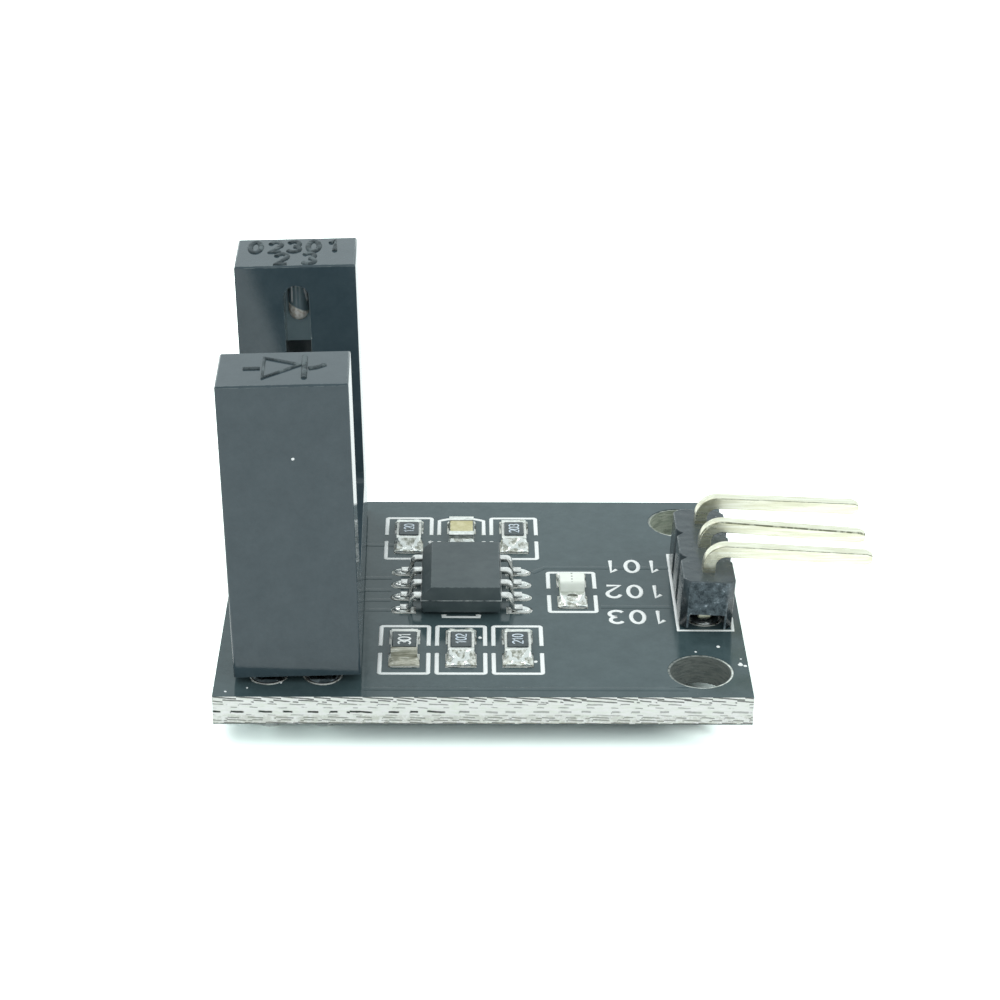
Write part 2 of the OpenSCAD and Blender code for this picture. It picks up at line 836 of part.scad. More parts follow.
// The ceramic of a chip resistor
module resistor_body(k) {
    color([0.88, 0.88, 0.84])
        at_chip(resistor_spots[k])
            translate([0, 0, band_t]) block(chip_w, chip_l - 2 * band_t, resistor_t - 2 * band_t);
}

// The glaze over its resistive film, its long edges taken off
module resistor_glaze(k) {
    l = chip_l - 2 * band_l;
    w = chip_w - 2 * (k == 0 ? first_glaze_side : glaze_side);
    z = resistor_t - band_t;
    h = band_t + glaze_t;
    color([0.06, 0.06, 0.07])
        at_chip(resistor_spots[k])
            translate([0, l / 2, z])
                rotate([90, 0, 0])
                    linear_extrude(l)
                        polygon([
                            [-w / 2, 0], [w / 2, 0], [w / 2, h / 2], [w / 2 - h / 2, h],
                            [-w / 2 + h / 2, h], [-w / 2, h / 2]
                        ]);
}

// Its two wrap-round end bands
module resistor_bands(k) {
    color([0.78, 0.78, 0.77])
        at_chip(resistor_spots[k])
            difference() {
                for (side = [-1, 1]) {
                    translate([0, side * (chip_l - band_l) / 2, 0])
                        block(chip_w, band_l, resistor_t);
                }
                translate([0, 0, band_t])
                    block(2 * chip_w, chip_l - 2 * band_t, resistor_t - 2 * band_t);
            }
}

// The ceramic block of the capacitor
module capacitor_body() {
    color([0.72, 0.66, 0.55])
        at_chip(capacitor_spot)
            translate([0, 0, band_t])
                block(chip_w - 2 * band_t, chip_l - 2 * band_t, capacitor_t - 2 * band_t);
}

// Its two end caps, which cover all the sides
module capacitor_bands() {
    color([0.78, 0.78, 0.77])
        at_chip(capacitor_spot)
            difference() {
                for (side = [-1, 1]) {
                    translate([0, side * (chip_l - capacitor_band_l) / 2, 0])
                        block(chip_w, capacitor_band_l, capacitor_t);
                }
                translate([0, 0, band_t])
                    block(chip_w - 2 * band_t, chip_l - 2 * band_t, capacitor_t - 2 * band_t);
            }
}

// The base of the indicator light, a scrap of board with a half hole at each end
module led_base() {
    color([0.8, 0.84, 0.76])
        at_chip(led_spot)
            translate([0, 0, band_t])
                difference() {
                    block(chip_w, chip_l - 2 * band_t, led_base_t - 2 * band_t);
                    led_half_holes(band_t);
                }
}

// The half holes at the ends of the indicator light
module led_half_holes(extra) {
    for (side = [-1, 1]) {
        translate([0, side * chip_l / 2, -chip_l]) cylinder(r = led_notch_r + extra, h = 2 * chip_l);
    }
}

// The moulded clear lens, drafted at its ends
module led_lens() {
    half = chip_l / 2 - led_band_l + led_lens_lap;
    w = chip_w - 2 * led_lens_side;
    c = led_lens_edge;
    in = half - led_lens_draw;
    color([0.93, 0.95, 0.93])
        at_chip(led_spot)
            translate([-w / 2, 0, led_base_t])
                rotate([90, 0, 90])
                    linear_extrude(w)
                        polygon([
                            [-half, 0], [half, 0], [in, led_lens_t - c], [in - c, led_lens_t],
                            [-in + c, led_lens_t], [-in, led_lens_t - c]
                        ]);
}

// Its two wrap-round end bands, each with a half hole
module led_bands() {
    color([0.78, 0.78, 0.77])
        at_chip(led_spot)
            difference() {
                for (side = [-1, 1]) {
                    translate([0, side * (chip_l - led_band_l) / 2, 0])
                        block(chip_w, led_band_l, led_base_t);
                }
                difference() {
                    translate([0, 0, band_t])
                        block(2 * chip_w, chip_l - 2 * band_t, led_base_t - 2 * band_t);
                    led_half_holes(band_t);
                }
                led_half_holes(0);
            }
}

// Solder fillets at both ends of the seven chip parts
module chip_fillet(h) {
    for (side = [-1, 1]) {
        mirror([0, side < 0 ? 1 : 0, 0])
            translate([-chip_w / 2, chip_l / 2, 0])
                rotate([90, 0, 90]) linear_extrude(chip_w) fillet_outline(chip_toe, h);
    }
}

module chip_solder() {
    color([0.74, 0.75, 0.76]) {
        for (spot = resistor_spots) {
            at_chip(spot) chip_fillet(resistor_t * solder_climb);
        }
        at_chip(capacitor_spot) chip_fillet(capacitor_t * solder_climb);
        at_chip(led_spot) chip_fillet(led_base_t * solder_climb);
    }
}

// One pitch of the strip in plan, with its corners taken off
module strip_unit() {
    w = strip_w / 2;
    p = pitch / 2;
    c = strip_notch;
    polygon([
        [-w + c, -p], [w - c, -p], [w, -p + c], [w, p - c],
        [w - c, p], [-w + c, p], [-w, p - c], [-w, -p + c]
    ]);
}

// The moulded strip, channelled beneath so that the joints can be washed
module header_body() {
    color([0.08, 0.09, 0.09])
        at_header()
            difference() {
                linear_extrude(strip_w)
                    for (k = [-1:1]) {
                        translate([0, k * pitch]) strip_unit();
                    }
                translate([-channel_w / 2, -header_len, -channel_h])
                    cube([channel_w, 2 * header_len, 2 * channel_h]);
                for (k = [-1:1]) {
                    translate([0, k * pitch, -strip_w]) block(pin_w, pin_w, 3 * strip_w);
                }
            }
}

// One square pin: up through the board and strip, bent over and drawn to its tip
module pin_bar(k) {
    low = face_z + tail_l + side_clear;
    droop = pin_droop[k + 1];
    h = pin_w / 2;
    r = pin_bend_r + h;
    rise = pin_top - h - r;
    arm = (pin_reach - r * cos(droop)) / cos(droop);
    translate([0, k * pitch, 0])
        intersection() {
            translate([0, 0, -low])
                rotate([0, -90, 0])
                    bent_bar(pin_w, pin_w, [[low + rise, 90 + droop, r], [arm, 0, 0]], pin_tip);
            translate([0, 0, -low])
                linear_extrude(low + pin_top + pin_w)
                    polygon([
                        [-pin_w, -h], [pin_reach - pin_tip, -h], [pin_reach + h, -h * pin_point],
                        [pin_reach + h, h * pin_point], [pin_reach - pin_tip, h], [-pin_w, h]
                    ]);
        }
}

module header_pin(k) {
    color([0.82, 0.81, 0.76]) trimmed() at_header() pin_bar(k);
}

module header_solder() {
    color([0.74, 0.75, 0.76])
        difference() {
            at_board() at_header_holes() joint(header_hole_d);
            at_header() {
                for (k = [-1:1]) {
                    pin_bar(k);
                }
            }
        }
}

board();
mask_top();
mask_bottom();
legend();
chip_pads();
comparator_pads();
sensor_platings();
header_platings();
sensor_housing();
emitter();
detector();
sensor_lead(-1, -1);  // sensor_lead_1
sensor_lead(1, -1);  // sensor_lead_2
sensor_lead(1, 1);  // sensor_lead_3
sensor_lead(-1, 1);  // sensor_lead_4
sensor_solder();
comparator_body();
comparator_lead(-1, 0);  // comparator_lead_1
comparator_lead(-1, 1);  // comparator_lead_2
comparator_lead(-1, 2);  // comparator_lead_3
comparator_lead(-1, 3);  // comparator_lead_4
comparator_lead(1, 3);  // comparator_lead_5
comparator_lead(1, 2);  // comparator_lead_6
comparator_lead(1, 1);  // comparator_lead_7
comparator_lead(1, 0);  // comparator_lead_8
comparator_solder();
resistor_body(0);  // resistor_1_body
resistor_glaze(0);  // resistor_1_glaze
resistor_bands(0);  // resistor_1_bands
resistor_body(1);  // resistor_2_body
resistor_glaze(1);  // resistor_2_glaze
resistor_bands(1);  // resistor_2_bands
resistor_body(2);  // resistor_3_body
resistor_glaze(2);  // resistor_3_glaze
resistor_bands(2);  // resistor_3_bands
resistor_body(3);  // resistor_4_body
resistor_glaze(3);  // resistor_4_glaze
resistor_bands(3);  // resistor_4_bands
resistor_body(4);  // resistor_5_body
resistor_glaze(4);  // resistor_5_glaze
resistor_bands(4);  // resistor_5_bands
capacitor_body();
capacitor_bands();
led_base();
led_lens();
led_bands();
chip_solder();
header_body();
header_pin(-1);  // header_pin_1
header_pin(0);  // header_pin_2
header_pin(1);  // header_pin_3
header_solder();
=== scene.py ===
from math import asin, cos, degrees, pi, radians, sin

import bmesh
import bpy
from mathutils import Matrix, Vector, noise


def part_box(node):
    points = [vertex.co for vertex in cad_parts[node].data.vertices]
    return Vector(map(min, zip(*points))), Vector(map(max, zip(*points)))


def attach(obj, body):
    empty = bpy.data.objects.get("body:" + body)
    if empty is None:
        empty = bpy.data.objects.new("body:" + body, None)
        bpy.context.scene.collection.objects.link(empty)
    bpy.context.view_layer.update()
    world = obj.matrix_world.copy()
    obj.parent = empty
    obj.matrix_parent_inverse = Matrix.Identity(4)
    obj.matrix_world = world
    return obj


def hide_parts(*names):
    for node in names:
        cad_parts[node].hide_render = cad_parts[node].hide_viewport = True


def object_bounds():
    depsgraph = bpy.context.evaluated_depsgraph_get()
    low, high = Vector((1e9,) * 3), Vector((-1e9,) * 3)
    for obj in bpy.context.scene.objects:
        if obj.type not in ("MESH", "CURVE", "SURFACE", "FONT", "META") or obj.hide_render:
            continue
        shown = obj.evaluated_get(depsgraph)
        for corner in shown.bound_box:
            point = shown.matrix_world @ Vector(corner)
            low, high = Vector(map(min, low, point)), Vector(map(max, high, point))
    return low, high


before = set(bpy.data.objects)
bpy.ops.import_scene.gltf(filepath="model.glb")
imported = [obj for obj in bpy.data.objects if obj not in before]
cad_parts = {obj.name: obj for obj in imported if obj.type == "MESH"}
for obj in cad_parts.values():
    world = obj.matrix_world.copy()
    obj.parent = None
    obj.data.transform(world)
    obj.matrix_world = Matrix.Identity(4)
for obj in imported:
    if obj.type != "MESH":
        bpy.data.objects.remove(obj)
cad_low, cad_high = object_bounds()

# Camera and light
# The camera looks along the photograph's line: from in front, above and a little to the left
# of the comparator, through a long lens. Everything is measured in millimetres and made metres.
mm = 0.001
camera_place = Vector((-11.213, -113.163, 64.393)) * mm
camera_pitch = radians(27.033)
camera_yaw = radians(0.932)
camera_roll = radians(0.592)


def placed(name, data):
    """A new object in the scene, at the origin."""
    made = bpy.data.objects.new(name, data)
    bpy.context.scene.collection.objects.link(made)
    return made


camera = placed("camera", bpy.data.cameras.new("camera"))
camera.data.sensor_width = 36.0
camera.data.lens = 94.26
camera.data.clip_start = 0.005
camera.data.clip_end = 20.0
camera.matrix_world = (
    Matrix.Translation(camera_place)
    @ Matrix.Rotation(-camera_yaw, 4, "Z")
    @ Matrix.Rotation(pi / 2 - camera_pitch, 4, "X")
    @ Matrix.Rotation(camera_roll, 4, "Z")
)
bpy.context.scene.camera = camera
bpy.context.scene.view_settings.view_transform = "Standard"


def fill(node, inputs):
    """Sets or links the inputs of a node."""
    for key, value in inputs.items():
        if isinstance(value, bpy.types.NodeSocket):
            node.id_data.links.new(value, node.inputs[key])
        else:
            node.inputs[key].default_value = value


def wire(tree, kind, inputs=(), **settings):
    """A new node with its settings made and its inputs set or linked."""
    made = tree.nodes.new(kind)
    for name, value in settings.items():
        setattr(made, name, value)
    fill(made, dict(inputs))
    return made


def follow(kind, inputs, **settings):
    """A new node in the same tree as what is linked to its inputs."""
    inputs = dict(inputs)
    linked = [value for value in inputs.values() if isinstance(value, bpy.types.NodeSocket)]
    return wire(linked[0].id_data, kind, inputs, **settings)


def math(operation, *values):
    """The result of a Math node; a third value and each later one works on the result so far."""
    result = follow("ShaderNodeMath", enumerate(values[:2]), operation=operation).outputs[0]
    for value in values[2:]:
        result = math(operation, result, value)
    return result


def times(*values):
    """The values multiplied together."""
    return math("MULTIPLY", *values)


def minus(value, taken):
    """The value less what is taken from it."""
    return math("SUBTRACT", value, taken)


def apart(value, other):
    """How far a value is from another one."""
    return math("ABSOLUTE", minus(value, other))


def smooth_step(value, start, end):
    """0 before start and 1 after end, with a soft change between them."""
    limits = {"Value": value, "From Min": start, "From Max": end}
    return follow("ShaderNodeMapRange", limits, interpolation_type="SMOOTHSTEP").outputs["Result"]


def coordinates(tree, kind):
    """The Object coordinates, the Normal or another output of Texture Coordinate."""
    return wire(tree, "ShaderNodeTexCoord").outputs[kind]


def axes(vector):
    """The X, Y and Z of a vector."""
    return follow("ShaderNodeSeparateXYZ", {"Vector": vector}).outputs


def white_behind(tree):
    """1 for the rays that should meet a white backdrop: from the camera, a gloss or a clear part."""
    path = wire(tree, "ShaderNodeLightPath")
    gloss = math("MAXIMUM", path.outputs["Is Glossy Ray"], path.outputs["Is Transmission Ray"])
    return path.outputs["Is Camera Ray"], gloss


def backdrop(tree, colour, strength):
    """What a ray meets that leaves the scene: a light of one colour."""
    return wire(tree, "ShaderNodeBackground", {"Color": colour, "Strength": strength}).outputs[0]


# The soft tent of light round the object. The backdrop is white, and what gloss and metal see
# of the tent gets greyer overhead and towards the side that the photograph was taken from.
tent_light = 0.92
tent_in_gloss = 1.1
tent_greying = 0.35
world = bpy.data.worlds.new("light_tent")
bpy.context.scene.world = world
world.use_nodes = True
tent = world.node_tree
tent.nodes.clear()
tent_xyz = axes(coordinates(tent, "Generated"))
overhead = smooth_step(tent_xyz["Z"], 0.55, 0.9)
in_front = smooth_step(tent_xyz["Y"], 0.15, -0.5)
greyer = times(math("MAXIMUM", overhead, in_front), tent_greying)
to_camera, to_gloss = white_behind(tent)
plain = backdrop(tent, (0.93, 0.99, 0.98, 1.0), tent_light)
mirrored = backdrop(tent, (0.90, 0.99, 1.0, 1.0), minus(tent_in_gloss, greyer))
white = backdrop(tent, (1.0, 1.0, 1.0, 1.0), 1.0)
lit = follow("ShaderNodeMixShader", {0: to_gloss, 1: plain, 2: mirrored}).outputs[0]
shown = follow("ShaderNodeMixShader", {0: to_camera, 1: lit, 2: white}).outputs[0]
follow("ShaderNodeOutputWorld", {"Surface": shown})


def soft_lamp(name, place, size, power):
    """A square area lamp that faces the middle of the board."""
    lamp = placed(name, bpy.data.lights.new(name, "AREA"))
    lamp.data.shape = "SQUARE"
    lamp.data.size = size
    lamp.data.energy = power
    lamp.location = Vector(place)
    aim = Vector(((cad_low.x + cad_high.x) / 2, 0, 0)) - lamp.location
    lamp.rotation_euler = aim.to_track_quat("-Z", "Y").to_euler()


soft_lamp("key_lamp", (-0.16, 0.14, 0.34), 0.22, 0.34)
soft_lamp("side_lamp", (0.34, -0.12, 0.2), 0.12, 0.1)


def as_mesh(shape, name):
    """A mesh made from a bmesh, which is freed."""
    mesh = bpy.data.meshes.new(name)
    shape.to_mesh(mesh)
    shape.free()
    return mesh


def scaled(vector, scale):
    """A vector with each of its axes scaled."""
    return follow("ShaderNodeVectorMath", {0: vector, 1: scale}, operation="MULTIPLY").outputs[0]


def blend_colour(share, first, second):
    """The first colour where share is 0 and the second where it is 1."""
    return follow("ShaderNodeMix", {0: share, 6: first, 7: second}, data_type="RGBA").outputs[2]


# The floor is a plain pale sheet under the trimmed leads. Its colour is brought up to white for
# the camera and for gloss, except under the board, where a darker grey is a painted shadow, so that the
# shadow stays dark and close.
floor_grey = (0.86, 0.87, 0.87, 1.0)
floor_in_gloss = (1.15, 1.18, 1.18, 1.0)
floor_in_camera = (1.98, 2.15, 2.09, 1.0)
# Painted shadow: the darker grey that the camera sees on the floor under the board
floor_painted_shadow = (0.34, 0.37, 0.36, 1.0)
under_middle_x = -10.2
under_half_size = (12.5, 9.85)
shade_start, shade_end = -3.0, -1.2
# The painted shadow reaches a little further out in front towards the right end
right_start, right_end = -7.2, 0.8
right_reach = 0.6
floor_r = 1.5
sheet = bmesh.new()
bmesh.ops.create_circle(sheet, cap_ends=True, segments=64, radius=floor_r)
bmesh.ops.translate(sheet, verts=sheet.verts, vec=(0, 0, cad_low.z))
floor = placed("floor", as_mesh(sheet, "floor"))
floor_finish = bpy.data.materials.new("floor_paper")
floor_finish.use_nodes = True
paper = floor_finish.node_tree
paper.nodes.clear()
to_camera, to_gloss = white_behind(paper)
spot = axes(scaled(coordinates(paper, "Object"), (1 / mm, 1 / mm, 0)))
past_side = minus(apart(spot["X"], under_middle_x), under_half_size[0])
past_front = minus(apart(spot["Y"], 0), under_half_size[1])
near_right = times(smooth_step(spot["X"], right_start, right_end), right_reach)
past_edge = math("MAXIMUM", past_side, minus(past_front, near_right))
outside = smooth_step(past_edge, shade_start, shade_end)
in_gloss = blend_colour(to_gloss, floor_grey, floor_in_gloss)
# Under the board the camera sees the painted shadow instead of the whitened floor
in_camera = blend_colour(outside, floor_painted_shadow, floor_in_camera)
dull = follow("ShaderNodeBsdfDiffuse", {"Color": blend_colour(to_camera, in_gloss, in_camera)})
follow("ShaderNodeOutputMaterial", {"Surface": dull.outputs[0]})
floor.data.materials.append(floor_finish)


# Board
# The core is glass cloth in resin, cut and drilled dry. Its cut faces show the plies as pale
# bands with broken grey lines, and one darker row of bundle ends a little below the middle.
def start_finish(name):
    """A new material, and its Object coordinates in millimetres."""
    material = bpy.data.materials.new(name)
    material.use_nodes = True
    return material, scaled(coordinates(material.node_tree, "Object"), (1 / mm, 1 / mm, 1 / mm))


def end_finish(material, colour, rough, surface, constants=()):
    """Gives the material's shader what varies over the surface, and then what is the same all over."""
    shader = material.node_tree.nodes["Principled BSDF"]
    fill(shader, {"Base Color": colour, "Roughness": rough, "Normal": surface, **dict(constants)})
    return material


def cloudy(vector, scale, detail=2.0, roughness=0.5):
    """A noise pattern, from 0 to 1, with so many lumps to a millimetre."""
    inputs = {"Vector": vector, "Scale": scale, "Detail": detail, "Roughness": roughness}
    return follow("ShaderNodeTexNoise", inputs).outputs["Fac"]


def between(share, low, high):
    """A number from low, where share is 0, to high, where it is 1."""
    limits = {"Value": share, "To Min": low, "To Max": high}
    return follow("ShaderNodeMapRange", limits).outputs["Result"]


def relief(height, depth_mm, under=None):
    """A surface normal raised by a pattern of so many millimetres."""
    inputs = {"Height": height, "Distance": depth_mm * mm, "Strength": 1.0}
    if under is not None:
        inputs["Normal"] = under
    return follow("ShaderNodeBump", inputs).outputs["Normal"]


def attribute(tree, name):
    """The value of a mesh attribute."""
    return wire(tree, "ShaderNodeAttribute", attribute_name=name).outputs["Fac"]


def give(objects, material):
    """Puts the material in every slot of the pieces or CAD nodes."""
    for thing in objects:
        thing.data.materials.clear()
        thing.data.materials.append(material)


def mask_group(name, *values):
    """A node group that makes a mask from a place and the values named, and what it is given."""
    group = bpy.data.node_groups.new(name, "ShaderNodeTree")
    sockets = group.interface
    sockets.new_socket("Place", in_out="INPUT", socket_type="NodeSocketVector")
    for value in values:
        sockets.new_socket(value, in_out="INPUT", socket_type="NodeSocketFloat")
    sockets.new_socket("Mask", in_out="OUTPUT", socket_type="NodeSocketFloat")
    return group, wire(group, "NodeGroupInput").outputs


def mask_of(group, place, *values):
    """The mask that a group makes at a place, with its values in their order."""
    inputs = enumerate((place,) + values)
    return follow("ShaderNodeGroup", inputs, node_tree=group).outputs["Mask"]


ply_wander = 0.14
dash_breaks = 3.2
dash_unequal = 1.6


def ply_line_group():
    """A broken, wavy line between two plies, seen on the cut edge of the board."""
    names = ("Level", "Half Thickness", "Dash Pitch", "Gaps", "Tilt", "Seed")
    group, given = mask_group("ply_line", *names)
    xyz = axes(given["Place"])
    along = math("ADD", xyz["X"], xyz["Y"])
    line_place = follow("ShaderNodeCombineXYZ", {"X": along, "Y": given["Seed"], "Z": 0.0}).outputs[0]
    unequal = times(cloudy(line_place, 0.55, 3.0), dash_unequal)
    turns = math("ADD", math("DIVIDE", along, given["Dash Pitch"]), given["Seed"], unequal)
    fall = times(minus(0.5, math("FRACT", turns)), given["Tilt"])
    wander = times(minus(cloudy(line_place, 1.1, 3.0), 0.5), ply_wander)
    level = math("ADD", given["Level"], fall, wander)
    swell = between(cloudy(line_place, 4.5, 3.0), 0.5, 1.6)
    half = times(given["Half Thickness"], swell)
    away = math("DIVIDE", apart(xyz["Z"], level), half)
    line = minus(1.0, smooth_step(away, 0.45, 1.0))
    dash_wave = math("SINE", times(turns, 2 * pi))
    breaks = times(minus(cloudy(line_place, 2.4, 4.0), 0.5), dash_breaks)
    dash_height = minus(math("ADD", dash_wave, breaks), given["Gaps"])
    dash = smooth_step(dash_height, -0.2, 0.25)
    follow("NodeGroupOutput", {"Mask": times(line, dash)})
    return group


# Each line is its height in the board, half its thickness, the pitch and gaps of its dashes,
# how far it falls from dash to dash, a seed, and how dark it is. The ends of the glass bundles
# make one darker row, which is fainter towards the right.
bundle_level = 0.66
ply_lines = [
    (1.40, 0.042, 1.17, -1.5, 0.12, 3.1, 0.85),
    (1.24, 0.040, 1.12, -0.9, 0.11, 7.7, 0.80),
    (1.06, 0.034, 1.25, 0.0, 0.06, 1.3, 0.60),
    (0.88, 0.030, 1.10, 0.5, 0.05, 5.2, 0.55),
    (bundle_level, 0.062, 1.17, 0.0, 0.05, 2.4, 1.00),
    (0.48, 0.026, 1.30, 0.3, 0.05, 8.3, 0.50),
    (0.35, 0.036, 1.22, -0.3, 0.06, 9.5, 0.65),
    (0.21, 0.038, 1.05, -0.7, 0.06, 4.4, 0.65),
    (0.05, 0.046, 1.30, -1.1, 0.05, 6.1, 0.80),
]
ply_line = ply_line_group()
hole_d = 2.85
hole_spacing = 15.1
hole_centres = [Vector((0, side * hole_spacing / 2, 0)) for side in (-1, 1)]
hole_wall_r = hole_d / 2 + 0.03
hole_ring_r = hole_d / 2 + 0.3


def fibreglass_finish():
    """The plies on the cut edges, and the holes' walls and rims, with painted light: each rim is painted
    bright on its right and front, and the back hole's wall lighter than the front one's.
    """
    material, place = start_finish("fibreglass")
    level_place = scaled(place, (0.9, 0.9, 5.0))
    streaks = cloudy(level_place, 1.6, 4.0, 0.6)
    bands = smooth_step(streaks, 0.35, 0.6)
    colour = blend_colour(bands, (0.90, 0.94, 0.87, 1), (0.99, 1.0, 0.98, 1))
    xyz = axes(place)
    faint_right = between(smooth_step(xyz["X"], -13.0, -10.0), 1.0, 0.5)
    grooves = 0.0
    for level, *dashes, dark in ply_lines:
        drawn = times(mask_of(ply_line, place, level, *dashes), dark)
        if level == bundle_level:
            drawn = times(drawn, faint_right)
        colour = blend_colour(drawn, colour, (0.03, 0.035, 0.03, 1))
        grooves = math("ADD", grooves, drawn)
    mottle = smooth_step(cloudy(place, 3.5, 4.0, 0.7), 0.40, 0.58)
    lower = minus(1.0, smooth_step(xyz["Z"], 0.42, 0.58))
    colour = blend_colour(times(lower, mottle, 0.35), colour, (0.40, 0.41, 0.32, 1))
    ground = scaled(place, (1, 1, 0))
    in_hole = 0.0
    in_ring = 0.0
    painted_lit_side = 0.0
    for centre in hole_centres:
        way = follow("ShaderNodeVectorMath", {0: ground, 1: centre}, operation="DISTANCE")
        reach = way.outputs["Value"]
        in_hole = math("MAXIMUM", in_hole, math("LESS_THAN", reach, hole_wall_r))
        ring = math("LESS_THAN", reach, hole_ring_r)
        in_ring = math("MAXIMUM", in_ring, ring)
        # Painted highlight: each rim is painted lighter towards its right and front
        to_front = times(minus(xyz["Y"], centre.y), -0.8)
        right_and_front = smooth_step(math("ADD", xyz["X"], to_front), -0.3, 0.8)
        painted_lit_side = math("MAXIMUM", painted_lit_side, times(ring, right_and_front))
    # The rim's shaded tone and its painted lit tone
    rim = blend_colour(mottle, (0.10, 0.12, 0.12, 1), (0.30, 0.33, 0.31, 1))
    painted_lit_rim = blend_colour(mottle, (0.55, 0.60, 0.56, 1), (0.95, 1.0, 0.95, 1))
    colour = blend_colour(in_ring, colour, blend_colour(painted_lit_side, rim, painted_lit_rim))
    # Painted light and shade in the holes: the back hole's wall is painted lit and the front one's shaded,
    # both with fine rings
    rings = smooth_step(streaks, 0.36, 0.60)
    painted_shaded_wall = blend_colour(rings, (0.120, 0.140, 0.135, 1), (0.185, 0.205, 0.190, 1))
    paler_tone = blend_colour(rings, (0.26, 0.30, 0.24, 1), (0.44, 0.48, 0.40, 1))
    drilled = blend_colour(math("GREATER_THAN", xyz["Y"], 0.0), painted_shaded_wall, paler_tone)
    colour = blend_colour(in_hole, colour, drilled)
    frayed = minus(cloudy(level_place, 6.0, 5.0, 0.65), grooves)
    return end_finish(material, colour, 0.62, relief(frayed, 0.03))


give([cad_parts["board"]], fibreglass_finish())


# Solder mask
# A glossy black film over both faces of the board, open at the pads. It dips and rises a
# little over the copper tracks beneath it, and a few grains of dust lie on it.
def dust_group():
    """Scattered specks: 1 on a speck and 0 elsewhere."""
    group, given = mask_group("dust", "Cells", "Speck Size", "Share")
    cells = follow("ShaderNodeTexVoronoi", {"Vector": given["Place"], "Scale": given["Cells"]}).outputs
    chance = follow("ShaderNodeSeparateColor", {"Color": cells["Color"]}).outputs
    chosen = math("LESS_THAN", chance["Red"], given["Share"])
    size = times(given["Speck Size"], between(chance["Green"], 0.35, 1.0))
    speck = math("LESS_THAN", cells["Distance"], size)
    follow("NodeGroupOutput", {"Mask": times(speck, chosen)})
    return group


dust = dust_group()


def mask_finish():
    material, place = start_finish("black_mask")
    tone = cloudy(place, 0.9, 5.0, 0.75)
    colour = blend_colour(tone, (0.028, 0.052, 0.059, 1), (0.082, 0.122, 0.132, 1))
    specks = mask_of(dust, place, 3.2, 0.09, 0.035)
    colour = blend_colour(times(specks, 0.4), colour, (0.45, 0.5, 0.5, 1))
    satin = between(cloudy(place, 3.0, 5.0, 0.7), 0.07, 0.16)
    rough = math("ADD", satin, times(specks, 0.5))
    peel = relief(cloudy(place, 0.9, 2.0), 0.006)
    grain = relief(cloudy(place, 11.0, 3.0), 0.0018, peel)
    return end_finish(material, colour, rough, grain, {"IOR": 1.45})


black_mask = mask_finish()
give([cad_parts["mask_top"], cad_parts["mask_bottom"]], black_mask)


def new_piece(name, mesh, finish, slot, *nodes):
    """A finished piece of the object, which stands for the CAD nodes given."""
    piece = placed(name, mesh)
    give([piece], finish)
    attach(piece, "root")
    if nodes:
        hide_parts(*nodes)
    return piece


def drawn_lines(strokes, width, height, to_place):
    """The mesh of low round-backed lines along strokes, which are lists of points; all in mm."""
    curve = bpy.data.curves.new("strokes", "CURVE")
    curve.dimensions = "3D"
    curve.bevel_depth = width * mm / 2
    curve.bevel_resolution = 3
    curve.use_fill_caps = True
    for points in strokes:
        closed = points[0] == points[-1]
        line = curve.splines.new("POLY")
        kept = points[:-1] if closed else points
        line.points.add(len(kept) - 1)
        line.use_cyclic_u = closed
        for point, (x, y) in zip(line.points, kept):
            point.co = (x * mm, y * mm, 0, 1)
    holder = bpy.data.objects.new("strokes", curve)
    mesh = bpy.data.meshes.new_from_object(holder)
    bpy.data.objects.remove(holder)
    mesh.transform(to_place @ Matrix.Scale(2 * height / width, 4, (0, 0, 1)))
    mesh.shade_smooth()
    return mesh


# Places on the board are given from its front left corner, in millimetres
board_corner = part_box("board")[0]
mask_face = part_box("mask_top")[1].z
pad_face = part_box("chip_pads")[1].z


def on_board(x, y, z=0.0):
    """A place given from the board's front left corner, and above the mask's face."""
    return Vector((board_corner.x + x * mm, board_corner.y + y * mm, mask_face + z * mm))


# Copper tracks that lift the mask: each runs through its corners
track_width = 0.34
track_rise = 0.009
tracks = [
    [(5.0, 2.6), (5.0, 6.7), (6.4, 8.1), (8.1, 8.1)],
    [(2.4, 2.6), (2.4, 7.6), (3.9, 9.08), (8.0, 9.08)],
    [(5.6, 10.09), (8.0, 10.09)],
    [(2.4, 17.2), (2.4, 12.8), (3.9, 11.33), (8.0, 11.33)],
    [(5.0, 17.2), (5.0, 16.2), (6.3, 14.83), (8.0, 14.83)],
    [(15.0, 11.9), (15.6, 12.45), (22.3, 12.45)],
    [(18.3, 8.45), (22.3, 8.45)],
    [(6.9, 0.68), (22.0, 0.68)],
]
to_mask = Matrix.Translation(on_board(0, 0))
track_mesh = drawn_lines(tracks, track_width, track_rise, to_mask)
new_piece("mask_over_tracks", track_mesh, black_mask, "black_mask")

# The tracks of the underside: from the header's pins to the sensor's leads and the comparator
under_tracks = [
    [(23.25, 12.54), (20.9, 14.89), (7.4, 14.89), (5.02, 17.27)],
    [(23.25, 7.46), (20.4, 4.61), (7.0, 4.61), (5.02, 2.63)],
    [(23.25, 10.0), (19.6, 10.0), (17.9, 11.7), (10.2, 11.7)],
    [(2.48, 2.63), (2.48, 17.27)],
]
under_branch = [(7.6, 14.89), (7.6, 12.4), (9.1, 10.9), (9.1, 6.4), (10.9, 4.61)]
to_underside = Matrix.Translation((board_corner.x, board_corner.y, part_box("mask_bottom")[0].z))
for name, width, rise, strokes in (
    ("mask_under_tracks", 2 * track_width, track_rise, under_tracks),
    ("mask_under_branch", track_width, 0.6 * track_rise, [under_branch]),
):
    new_piece(name, drawn_lines(strokes, width, rise, to_underside), black_mask, "black_mask")


